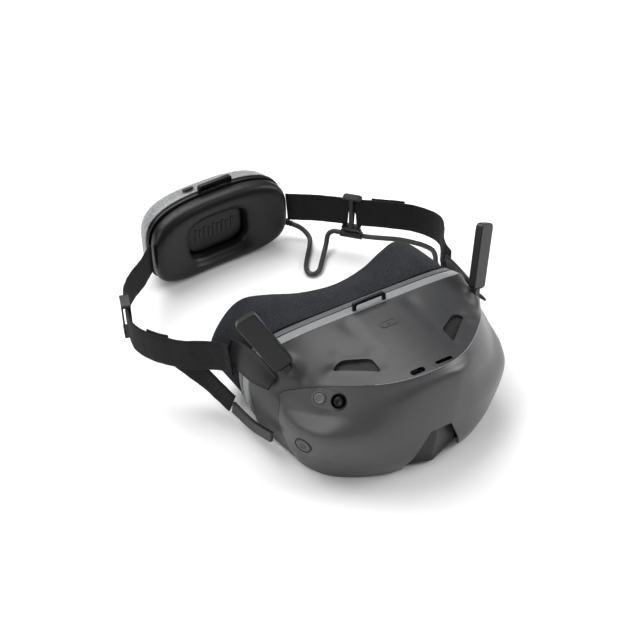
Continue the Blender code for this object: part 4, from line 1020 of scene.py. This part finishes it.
def make_optics():
    """Plate across the visor with two lenses, each in its barrel."""
    facing = frame_of((0, 1, 0))
    outline = squircle(68, 28, 120, 4.0)
    plate = prism("optics_plate", outline, 0, 2.0, dark, placer((0, 40.2, 41.0), facing),
                  stands_for="face_plate", slot="dark_plastic", bevel=0.3)
    holes = []
    for side in (-1, 1):
        centre = Vector((side * LENS_X, LENS_Y, LENS_Z))
        holes.append(prism(sided("lens_hole", side), disc(LENS_R - 1.0, 64), -3, 12, None,
                           placer(centre, facing), body=None))
        bulge = [(0, -4.6), (9, -4.0), (17, -2.4), (LENS_R - 0.4, -0.9), (LENS_R, -0.5), (LENS_R, 0.5),
                 (LENS_R - 0.4, 0.9), (17, 2.4), (9, 4.0), (0, 4.6)]
        turned(sided("eyepiece", side), bulge, glass, placer(centre, facing), sides=72,
               stands_for=sided("lens", side), slot="optical", smooth=25)
        barrel = filleted([(24.0, -30), (24.0, 5.2), (LENS_R + GAP, 5.2), (LENS_R + GAP, 2.0),
                           (LENS_R + GAP, -30)], 0.6)
        turned(sided("eyepiece_barrel", side), barrel, black, placer(centre, facing), sides=72,
               stands_for=sided("lens_barrel", side), slot="dark_plastic")
    carve(plate, *holes)


def make_top_loop():
    """Square-shouldered U loop standing on the band, for an overhead strap."""
    outline = round_corners([(-12.8, 0), (-12.8, 6.4), (12.8, 6.4), (12.8, 0), (10.4, 0), (10.4, 4.0),
                             (-10.4, 4.0), (-10.4, 0)], [0.3, 3.2, 3.2, 0.3, 0.3, 1.4, 1.4, 0.3])
    standing = frame_of((0, 0.99, -0.12), along=(0, 0.12, 0.99))
    prism("top_loop", outline, -TOP_LOOP_HALF_THICK, TOP_LOOP_HALF_THICK, black,
          placer(TOP_LOOP_PLACE, standing),
          stands_for="top_strap_loop", slot="black_plastic", bevel=0.6, smooth=50)


# ---------------------------------------------------------------- controls
def on_plane(point, centre, normal):
    """Foot of a point on the plane through centre."""
    return Vector(point) - normal * (Vector(point) - centre).dot(normal)


def make_controls(panel, centre):
    """Light plate with the shortcut key and the joystick in their wells, and the power button."""
    normal = panel @ Z
    plate = prism("control_plate", rounded(12.6, 23.2, 6.1, 10), -1.2, 0.45, ledge_grey,
                  placer(centre, panel), stands_for="button_bezel", slot="light_trim", bevel=0.25)
    controls = [(label, placer(on_plane(place, centre, normal), panel), radius) for label, place, radius in
                (("shortcut", SHORTCUT_CENTRE, SHORTCUT_R), ("joystick", JOYSTICK_CENTRE, JOYSTICK_R))]
    carve(plate, *[prism("well", disc(radius + 0.35), -3, 3, None, spot, body=None)
                   for _, spot, radius in controls])
    for label, spot, radius in controls:
        rim = filleted([(radius + 0.28, -1.0), (radius + 0.28, 1.0), (radius + 0.85, 0.9),
                        (radius + 0.9, -0.2)], 0.2)
        turned(f"{label}_rim", rim, black if label == "joystick" else ledge_grey, spot)
    spot = placer(on_plane(SHORTCUT_CENTRE, centre, normal), panel)
    key = filleted([(0, 1.0), (SHORTCUT_R - 1.2, 1.15), (SHORTCUT_R - 0.9, 1.5), (SHORTCUT_R - 0.1, 1.2),
                    (SHORTCUT_R - 0.1, -2.2), (0, -2.2)], 0.35)
    turned("shortcut_key_cap", key, plate_grey, spot, body="shortcut_key", stands_for="shortcut_button",
           slot="dark_plastic")
    under = on_plane(JOYSTICK_CENTRE, centre, normal) - normal * 6.0
    spot = placer(under, panel)
    cap = filleted([(0, 7.3), (1.2, 7.5), (2.3, 7.9), (3.0, 7.4), (3.0, 5.5), (2.3, 4.9), (2.3, 2.4),
                    (0, 2.4)], 0.4)
    turned("joystick_top", cap, black, spot, body="joystick", stands_for="joystick_cap", slot="dark_plastic")
    for k in range(4):
        turn = Matrix.Rotation(math.pi / 2 * k, 3, "Z")
        arrow = [(-0.55, 1.5), (0.55, 1.5), (0.0, 2.35)]
        ridge = [tuple((turn @ Vector((x, y, 0)))[:2]) for x, y in arrow]
        prism(f"joystick_ridge_{k}", ridge, 7.4, 8.05, side_grey, spot, body="joystick", bevel=0.1)
    ring = filleted([(1.9, -1.2), (2.9, -1.2), (2.9, 1.2), (1.9, 1.2), (1.9, -1.1)], 0.2)
    turned("joystick_gimbal_ring", ring, black, spot, body="joystick_gimbal", stands_for="joystick_ring",
           slot="black_plastic")
    edge = JOYSTICK_R + 0.2
    turned("joystick_boot", [(3.2, 3.5), (edge, 4.3), (edge, 3.9), (3.2, 3.1)], black, spot)
    make_power_button()


def make_power_button():
    """Round key with a plain power sign, in a fine raised ring."""
    spot = placer(POWER_CENTRE, frame_of(POWER_NORMAL))
    key = filleted([(0, 0.55), (POWER_R - 0.9, 0.6), (POWER_R - 0.15, 0.3), (POWER_R - 0.15, -2.0),
                    (0, -2.0)], 0.5)
    turned("power_key_cap", key, grey, spot, body="power_key", stands_for="power_button",
           slot="dark_plastic")
    rim = filleted([(POWER_R + 0.02, -1.6), (POWER_R + 0.02, 0.6), (POWER_R + 0.5, 0.6),
                    (POWER_R + 0.6, -1.0)], 0.2)
    turned("power_rim", rim, black, spot)
    arc = [spot((1.9 * math.sin(a), 1.9 * math.cos(a), 0.62))
           for a in (math.radians(40 + 280 * k / 20) for k in range(21))]
    tube("power_sign_arc", arc, 0.2, side_grey, sides=2, body="power_key")
    tube("power_sign_bar", [spot((0, 0.5, 0.62)), spot((0, 2.3, 0.62))], 0.2, side_grey, sides=2,
         body="power_key")


# ---------------------------------------------------------------- antennas
def antenna_frame(side):
    """Hinge point of an antenna, and its directions up the blade, out of its face and along its pin."""
    foot, tip = ANTENNA_FOOT, ANTENNA_TIPS[side]
    up = (tip - foot).normalized()
    across = up.cross(ANTENNA_FACE).normalized()
    face = across.cross(up)
    if side < 0:
        foot, up, face, across = mirror(foot), mirror(up), mirror(face), -mirror(across)
    return foot + up * HINGE_HEIGHT - face * ANTENNA_SET_BACK, up, face, across


def make_antenna(side):
    """Folding blade: a pocket in its back straddles a tongue and turns on a pin."""
    pivot, up, face, across = antenna_frame(side)
    axes = Matrix((across, up, face)).transposed()
    half, length = ANTENNA_WIDTH / 2, (ANTENNA_TIPS[side] - ANTENNA_FOOT).length - HINGE_HEIGHT
    slot, deep, base = 2.8, 3.6, 0.2 - HINGE_HEIGHT
    low, high = ANTENNA_SET_BACK - ANTENNA_THICK / 2, ANTENNA_SET_BACK + ANTENNA_THICK / 2
    outline = round_corners([(half, length), (-half, length), (-half + 0.35, base), (half - 0.35, base)],
                            [4.2, 4.2, 2.6, 2.6], 8)
    body = sided("antenna", side) + "_blade"
    blade = prism(sided("antenna_blade", side), outline, low, high, antenna_grey, placer(pivot, axes),
                  body=body, stands_for=sided("antenna", side), slot="dark_plastic", bevel=1.1,
                  bevel_steps=4, smooth=60)
    room = slot + 0.4
    pocket = [(-room, base - 2), (room, base - 2), (room, deep), (-room, deep)]
    carve(blade, prism("pocket", pocket, low - 2, TONGUE_R + 0.3, None, placer(pivot, axes), body=None))
    blade.modifiers["edges"].angle_limit = math.radians(60)
    turning = Matrix((up, face, across)).transposed()
    place = placer(pivot, turning)
    tongue = [(TONGUE_R * math.cos(a), TONGUE_R * math.sin(a)) for a in
              (math.pi * (-0.5 + k / 20) for k in range(21))]
    tongue += [(-STAND_HEIGHT, TONGUE_R), (-STAND_HEIGHT, -TONGUE_R)]
    prism(sided("antenna_post", side), tongue, -slot, slot, dark, place,
          stands_for=sided("antenna_stand", side), slot="dark_plastic", bevel=0.3)
    pin = filleted([(0, 1.4 - half), (1.25, 1.4 - half), (1.25, half - 1.4), (0, half - 1.4)], 0.25)
    turned(sided("antenna_axle", side), pin, steel, place, stands_for=sided("antenna_pin", side),
           slot="steel")


# ---------------------------------------------------------------- arms and straps
def make_arm(side):
    """Flexible moulded wing with a thick rim, and the lower clip."""
    upper = [(79.4, 19.0, 64.5), (80.6, 32.0, 67.6), (82.0, 45.0, 68.0), (83.8, 57.0, 66.6),
             (86.0, 68.5, 63.6)]
    lower = [(85.6, 19.0, 56.5), (87.6, 34.0, 50.6), (87.8, 48.0, 46.4), (87.8, 59.0, 44.2),
             (88.8, 69.5, 43.6)]
    turn = mirror if side < 0 else Vector
    rows, columns = 48, 22
    outer, inner = [], []
    for i in range(rows + 1):
        a, b = curve(upper, i / rows), curve(lower, i / rows)
        ring_o, ring_i = [], []
        for j in range(columns + 1):
            s = j / columns
            rim = max(1 - ease(min(s, 1 - s), 0.0, 0.11), 1 - ease(min(i, rows - i) / rows, 0.0, 0.05))
            p = a.lerp(b, s) + Vector((2.4 * s * (1 - s), 0, 0))
            ring_i.append(turn(p + Vector((0.2 * (1 - rim), 0, 0))))
            ring_o.append(turn(p + Vector((1.15 + 0.45 * rim, 0, 0.4))))
        outer.append(ring_o)
        inner.append(ring_i)
    liner = []
    for i in range(25):
        a, b = curve(upper, 0.12 + 0.86 * i / 24), curve(lower, 0.12 + 0.86 * i / 24)
        liner.append([turn(a.lerp(b, s) + Vector((2.4 * s * (1 - s) - 0.12, 0, 0)))
                      for s in [0.05 + 0.8 * j / 12 for j in range(13)]])
    step = turn(Vector((0.3, 0, 0)))
    sheet_body(sided("wing_liner", side), [[p + step for p in row] for row in liner], liner, plate_grey,
               bevel=0.1, bevel_steps=1)
    sheet_body(sided("upper_wing", side), outer, inner, arm_rubber, stands_for=sided("upper_arm", side),
               slot="arm_rubber", bevel=0.4)
    top = [(86.8, 12.4, 24.4), (89.9, 34.0, 18.8), (92.4, 56.5, 18.2)]
    base = [(86.4, 14.6, 13.2), (89.4, 35.0, 7.8), (92.8, 57.5, 7.8)]
    rows = [[curve(top, i / 30).lerp(curve(base, i / 30), j / 10) for j in range(11)] for i in range(31)]
    outer = [[turn(p + Vector((2.6, 0, 0))) for p in row] for row in rows]
    inner = [[turn(p) for p in row] for row in rows]
    sheet_body(sided("lower_hook", side), outer, inner, dark, stands_for=sided("lower_clip", side),
               slot="arm_rubber", bevel=0.8, bevel_steps=4)


def strap_axes(points, t):
    """Directions along a strap, out of its face and up its width."""
    ahead = curve(points, min(t + 0.004, 1.0)) - curve(points, max(t - 0.004, 0.0))
    out = Vector((ahead.y, -ahead.x, 0)).normalized()
    up = out.cross(ahead).normalized()
    return ahead.normalized(), out, up if up.z > 0 else -up


def ribbon(name, points, width, look, start=0.0, end=1.0, shift=0.0, lift=0.0, **options):
    """Webbing on edge along a smooth curve: rounded edges, faint waves, UVs in millimetres."""
    length = route_length(points) * (end - start)
    steps = max(int(length / 1.5), 8)
    half, lip = width / 2, STRAP_THICK / 2
    section = [(lip, s) for s in (-0.94, -0.6, -0.2, 0.2, 0.6, 0.94)]
    section += [(lip * 0.5, 0.99), (-lip * 0.5, 0.99)]
    section += [(-lip, -s) for s in (-0.94, -0.6, -0.2, 0.2, 0.6, 0.94)]
    section += [(-lip * 0.5, -0.99), (lip * 0.5, -0.99)]
    grid, uv, run, before = [], [], 0.0, None
    for k in range(steps + 1):
        t = start + (end - start) * k / steps
        p = curve(points, t)
        run += (p - before).length if before else 0.0
        before = p
        _, out, up = strap_axes(points, t)
        wave = 0.12 * math.sin(run * 0.23) + 0.08 * math.sin(run * 0.61)
        p = p + out * (shift + wave) + Vector((0, 0, lift))
        grid.append([p + out * a + up * half * b for a, b in section])
        uv += [(run, half * b) for _, b in section]
    return lofted(name, grid, look, uv=uv, smooth=60, **options)


def make_slider(name, node, points, t, body):
    """Three-bar slider: rails above and below the webbing, end bars inside and a middle bar outside."""
    ahead = (curve(points, t + 0.01) - curve(points, t - 0.01)).normalized()
    flat = Vector((ahead.x, ahead.y, 0)).normalized()
    axes = Matrix((flat, Z, flat.cross(Z))).transposed()
    low, high = -2.8, 4.0
    centre = curve(points, t)
    place = placer(centre, axes)
    half, rail = SLIDER_LENGTH / 2, SLIDER_HEIGHT / 2
    inner = STRAP_WIDTH / 2 + 0.8
    parts = []
    for end in (1, -1):
        edge = [(-half, inner * end), (-half, (rail - 1.2) * end), (-half + 1.6, rail * end),
                (half - 1.6, rail * end), (half, (rail - 1.2) * end), (half, inner * end)]
        parts.append((round_corners(edge, 1.0), low, high))
    for x in (1.4 - half, half - 1.4):
        parts.append((rounded(2.8, rail * 2 - 1.6, 0.8, 4, (x * 0.99, 0)), low + 0.1, low + 1.5))
    parts.append((rounded(3.0, rail * 2 - 1.6, 0.8, 4), high - 1.5, high - 0.1))
    for k, (outline, a, b) in enumerate(parts):
        piece = prism(f"{name}_{k}", outline, a, b, dark, place, body=body, slot="dark_plastic", bevel=0.45)
        if k == 0:
            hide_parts(node)
    return centre, axes


def make_cable_clip(centre, axes, body):
    """Trapezoid frame under the right slider, with the tube round the cable."""
    top = -SLIDER_HEIGHT / 2 - GAP
    low = -CLIP_DROP
    outer = round_corners([(-7.2, top), (-9.6, low), (9.6, low), (7.2, top)], [1.2, 0.4, 0.4, 1.2])
    inner = round_corners([(-5.3, top - 0.8), (-6.2, top - 3.7), (6.2, top - 3.7), (5.3, top - 0.8)], 0.7)
    place = placer(centre, axes)
    ring = [[place((x, y, h)) for x, y in outline] for outline, h in
            ((outer, -1.6), (outer, 1.6), (inner, 1.6), (inner, -1.6))]
    lofted("clip_frame", ring, dark, along=True, body=body, stands_for="cable_clip", slot="dark_plastic",
           bevel=0.4)
    around = Matrix((Z, axes.col[2], axes.col[0])).transposed()
    barrel = filleted([(2.2, -9), (2.9, -9), (3.1, -8.2), (3.1, 8.2), (2.9, 9), (2.2, 9), (2.2, -8.9)], 0.3)
    turned("clip_tube", barrel, dark, placer(centre - Z * CLIP_DROP, around), body=body, slot="dark_plastic")


def strap_stitches(name, points, t, look, face):
    """Rows of short stitches across a strap, raised on its outer face (face 1) or inner face (-1)."""
    half, gap = 9.5, 1.9
    vertices, faces = [], []
    p = curve(points, t)
    ahead, out, up = strap_axes(points, t)
    out = out * face
    reach = STRAP_THICK / 2 + 0.15
    for r in STITCH_ROWS:
        count = int(2 * half / gap)
        for k in range(count + 1):
            v = -half + k * gap
            middle = p + ahead * r + up * v + out * reach
            base = len(vertices)
            for a, b, c in ((-0.2, -0.6, 0), (0.2, -0.6, 0), (0.2, 0.6, 0), (-0.2, 0.6, 0),
                            (-0.12, -0.4, 0.3), (0.12, -0.4, 0.3), (0.12, 0.4, 0.3), (-0.12, 0.4, 0.3)):
                vertices.append(middle + ahead * a + up * b + out * c)
            faces += [tuple(base + i for i in f) for f in
                      ((0, 1, 2, 3), (4, 5, 6, 7), (0, 1, 5, 4), (1, 2, 6, 5), (2, 3, 7, 6), (3, 0, 4, 7))]
    body_of(name, vertices, faces, look, smooth=80)


def make_straps():
    """Head straps with their doubled tails, lower straps, sliders, cable clip and stitching."""
    ribbon("head_strap_left", LEFT_STRAP, STRAP_WIDTH, webbing, stands_for="strap_left",
           slot="webbing")
    right = ribbon("head_strap_right", RIGHT_STRAP, STRAP_WIDTH, webbing, stands_for="strap_right",
           slot="webbing")
    ribbon("strap_tail_left", LEFT_STRAP, STRAP_WIDTH - 1, webbing, *LEFT_TAIL, TAIL_SHIFT, TAIL_LIFT,
           stands_for="strap_left_tail", slot="webbing")
    ribbon("strap_tail_right", RIGHT_STRAP, STRAP_WIDTH - 1, webbing, *RIGHT_TAIL, TAIL_SHIFT, TAIL_LIFT,
           stands_for="strap_right_tail", slot="webbing")
    for side in (-1, 1):
        points = LEFT_LOWER_STRAP if side < 0 else [mirror(p) for p in LEFT_LOWER_STRAP]
        ribbon(sided("lower_strap", side), points, LOWER_STRAP_WIDTH, narrow_webbing,
               stands_for=sided("strap", side) + "_lower", slot="webbing")
    make_slider("slider_left_bar", "slider_left", LEFT_STRAP, LEFT_SLIDER_AT, "strap_slider_left")
    centre, axes = make_slider("slider_right_bar", "slider_right", RIGHT_STRAP, RIGHT_SLIDER_AT,
                               "strap_slider_right")
    place = placer(centre, axes)
    slits = [[(1.7, -13.5), (4.2, -13.5), (3.4, -2.0), (2.4, 1.0)],
             [(-1.7, -13.5), (-3.6, -13.5), (-2.9, -2.0), (-2.3, 1.0)]]
    carve(right, *[prism("slit", slit, -2, 2, None, place, body=None) for slit in slits])
    make_cable_clip(centre, axes, "strap_slider_right")
    for side, points, place in ((-1, LEFT_STRAP, LEFT_STITCHES), (1, RIGHT_STRAP, RIGHT_STITCHES)):
        for turn in (-1, 1):
            strap_stitches(sided("arm_stitch", side) + ("_out" if turn > 0 else "_in"), points, place,
                           side_grey, turn)


# ---------------------------------------------------------------- battery pack
def pack_place(x=0.0, y=0.0, z=0.0, axes=None):
    """Placer in the pack's frame: x across, y away from the head, z up from its middle."""
    turn = Matrix.Rotation(PACK_TURN, 3, "Z")
    return placer(Vector(PACK_CENTRE) + turn @ Vector((x, y, z)), turn @ (axes or Matrix.Identity(3)))


def pack_point(x, y, z):
    """Point of the pack, which is curved round the head."""
    return pack_place()((x, y - PACK_BEND * x * x, z))


def pack_loop(width, height, y, power=3.6, middle=(0, 0), sides=120):
    return [pack_point(x + middle[0], y, z + middle[1]) for x, z in squircle(width, height, sides, power)]


def make_pack():
    """Soft pad with a window, black frame with a gasket line, and the speckled outer shell."""
    window = PACK_WINDOW
    low, lower = (0, -0.6), (-0.3, -1.8)
    pad = [pack_loop(*ring, sides=72) for ring in
           ((57.8, 31.8, 12.0), (58.6, 32.4, 10.0), (58.8, 32.6, 6.4), (58.5, 32.3, 3.6, 3.5),
            (57.4, 31.4, 1.4, 3.4), (55.4, 29.6, 0.0, 3.3), (52.4, 27.2, -0.8, 3.2),
            (45.0, 24.9, -0.9, 3.2, low), (36.0, 23.0, -0.2, 3.2, lower), (30.0, 21.0, 1.4, 3.4, window),
            (27.0, 18.8, 2.6, 3.6, window), (25.8, 17.6, 4.4, 3.8, window), (25.0, 16.9, 8.0, 3.8, window),
            (24.8, 16.8, 12.0, 3.8, window))]
    cushion = lofted("pad_cushion", pad, satin, along=True, smooth=180, stands_for="battery_pad",
                     slot="satin_pad")

    def held(p):
        depth = (p - Vector(PACK_CENTRE)).dot(Matrix.Rotation(PACK_TURN, 3, "Z") @ Y)
        return 1.0 if depth > 5.0 else 0.0

    blown(cushion, 2.5, 1.4, held)
    add_rounding(cushion)
    rim = [pack_loop(w, h, y) for w, h, y in
           ((14, 7, 12.4), (36, 20, 12.4), (58.2, 32.0, 12.4), (59.2, 32.8, 12.7), (59.6, 33.2, 13.4),
            (59.6, 33.2, 14.2), (58.9, 32.5, 14.5), (58.9, 32.5, 15.1), (59.6, 33.2, 15.4),
            (59.6, 33.2, 16.6), (59.2, 32.8, 17.2), (58.4, 32.2, 17.4), (36, 20, 17.4), (14, 7, 17.4))]
    lofted("pack_frame", rim, black, stands_for="battery_frame", slot="black_plastic", smooth=35)
    outer = [(58.4, 32.3, 17.8), (58.7, 32.6, 18.2), (58.4, 32.4, 21.0), (58.0, 32.0, 24.0),
             (57.2, 31.4, 27.6), (55.6, 30.0, 31.0), (53.2, 28.0, 34.0), (49.8, 25.0, 36.4),
             (45.5, 21.6, 38.0), (40.5, 18.0, 38.9), (30.0, 12.5, 39.3), (16.0, 7.0, 39.4)]
    shell = [pack_loop(*ring) for ring in outer]
    columns, rows = 120, len(shell)
    vertices = [p for row in shell for p in row]
    faces = grid_faces(rows, columns, around=True)
    faces.append(tuple((rows - 1) * columns + j for j in range(columns)))
    inside = [pack_loop(w - 2.0, h - 2.0, min(y, 36.6)) for w, h, y in outer]
    base = len(vertices)
    vertices += [p for row in inside for p in row]
    faces += grid_faces(len(inside), columns, around=True, offset=base)
    faces.append(tuple(base + (len(inside) - 1) * columns + j for j in range(columns)))
    for j in range(columns):
        faces.append((j, (j + 1) % columns, base + (j + 1) % columns, base + j))
    body_of("pack_shell", vertices, faces, silver_speckle, stands_for="battery_shell", slot="speckled_silver",
            smooth=50)
    make_pack_details(window)


def make_pack_details(window):
    """Panel with ribs in the pad's window, the loop on top of the frame and the battery button."""
    outward = frame_of((0, 1, 0))
    loops = [pack_loop(w, h, y, 3.8, window, 72) for w, h, y in
             ((9, 5, 10.4), (23.4, 15.4, 10.4), (23.6, 15.6, 10.7), (23.6, 15.6, 11.6),
              (23.4, 15.4, 11.9), (9, 5, 11.9))]
    lofted("recess_panel", loops, black, stands_for="battery_inner_panel", slot="black_plastic")
    for k in range(9):
        x = window[0] - 16 + k * 4.0
        panel = pack_place(x, -PACK_BEND * x * x, window[1], outward)
        bar = rounded(2.2, 9.0 if k % 2 else 12.0, 0.8, 4)
        prism(f"recess_rib_{k}", bar, 9.8, 10.6, dark, panel, bevel=0.2)
    outline = round_corners([(-14.5, -0.2), (-14.5, 5.0), (14.5, 5.0), (14.5, -0.2), (12, -0.2), (12, 2.6),
                             (-12, 2.6), (-12, -0.2)], [0.3, 2.6, 2.6, 0.3, 0.3, 1.2, 1.2, 0.3])
    prism("pack_loop_bar", outline, 12.8, 16.0, black, pack_place(5, -PACK_BEND * 25, 34.0, outward),
          stands_for="battery_strap_loop", slot="black_plastic", bevel=0.7, smooth=50)
    tilted = pack_place(-14, 22.5 - PACK_BEND * 196, 32.8, frame_of((0, 0.28, 0.96), along=(0, 1, 0)))
    prism("pack_button", rounded(9.6, 4.2, 2.0, 8), 0.4, 1.5, dark, tilted, body="battery_key",
          stands_for="battery_button", slot="dark_plastic", bevel=0.4)


# ---------------------------------------------------------------- carried-over CAD nodes
def paint(node, look):
    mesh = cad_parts[node].data
    mesh.materials.clear()
    mesh.materials.append(look)


def paint_frame():
    """Materials of the inner and underside pieces that keep their CAD shape."""
    looks = {"bottom_cover": side_grey, "screw_left": steel, "screw_right": steel, "display_panel": screen,
             "display_bracket": dark, "main_board": board_green, "heat_sink": aluminium,
             "fan_housing": black, "fan_rotor": dark, "battery_board": board_green,
             "battery_cell_lower": cell_wrap, "battery_cell_upper": cell_wrap}
    for node, look in looks.items():
        paint(node, look)


# ---------------------------------------------------------------- studio
def area_light(name, place, target, size, power):
    data = bpy.data.lights.new(name, "AREA")
    data.shape, data.size, data.size_y = "RECTANGLE", size[0], size[1]
    data.energy = power
    lamp = bpy.data.objects.new(name, data)
    bpy.context.scene.collection.objects.link(lamp)
    lamp.location = place
    lamp.rotation_euler = (Vector(target) - Vector(place)).to_track_quat("-Z", "Y").to_euler()


def add_studio():
    """White paper floor, white world and three soft lights."""
    half = 4.0
    mesh = bpy.data.meshes.new("floor")
    corners = ((-half, -half), (half, -half), (half, half), (-half, half))
    mesh.from_pydata([(x, y, -0.0002) for x, y in corners], [], [(0, 1, 2, 3)])
    paper = Look("paper", (0.93, 0.93, 0.93), 0.9)
    cloud = paper.noise(400.0, 2.0)
    paper.link(paper.ramp(cloud, 0.3, 0.7, 0.86, 0.94), "Roughness")
    mesh.materials.append(paper.material)
    floor = bpy.data.objects.new("floor", mesh)
    bpy.context.scene.collection.objects.link(floor)
    world = bpy.data.worlds.new("studio")
    bpy.context.scene.world = world
    world.use_nodes = True
    sky = world.node_tree.nodes["Background"].inputs
    sky["Color"].default_value = (1.0, 1.0, 1.0, 1.0)
    sky["Strength"].default_value = 0.30
    area_light("key", (1.25, -0.5, 0.85), (0, 0, 0.03), (0.8, 0.9), 13)
    area_light("top", (-0.1, 0.75, 1.45), (0, 0.02, 0), (1.7, 1.3), 34)
    area_light("left", (-1.3, -0.2, 0.9), (0, 0, 0.04), (0.7, 0.9), 7)
    bpy.context.scene.view_settings.view_transform = "Standard"
    bpy.context.scene.view_settings.exposure = 0.0


# ---------------------------------------------------------------- assembly
add_camera()
make_cable()
columns = shell_stations()
plate_axes, plate_centre = make_front_shell(columns)
make_nose_panel()
make_housing(columns)
make_vents()
make_trim()
make_foam()
make_optics()
make_top_loop()
make_controls(plate_axes, plate_centre)
for hand in (-1, 1):
    make_antenna(hand)
    make_arm(hand)
make_straps()
make_pack()
paint_frame()
add_studio()
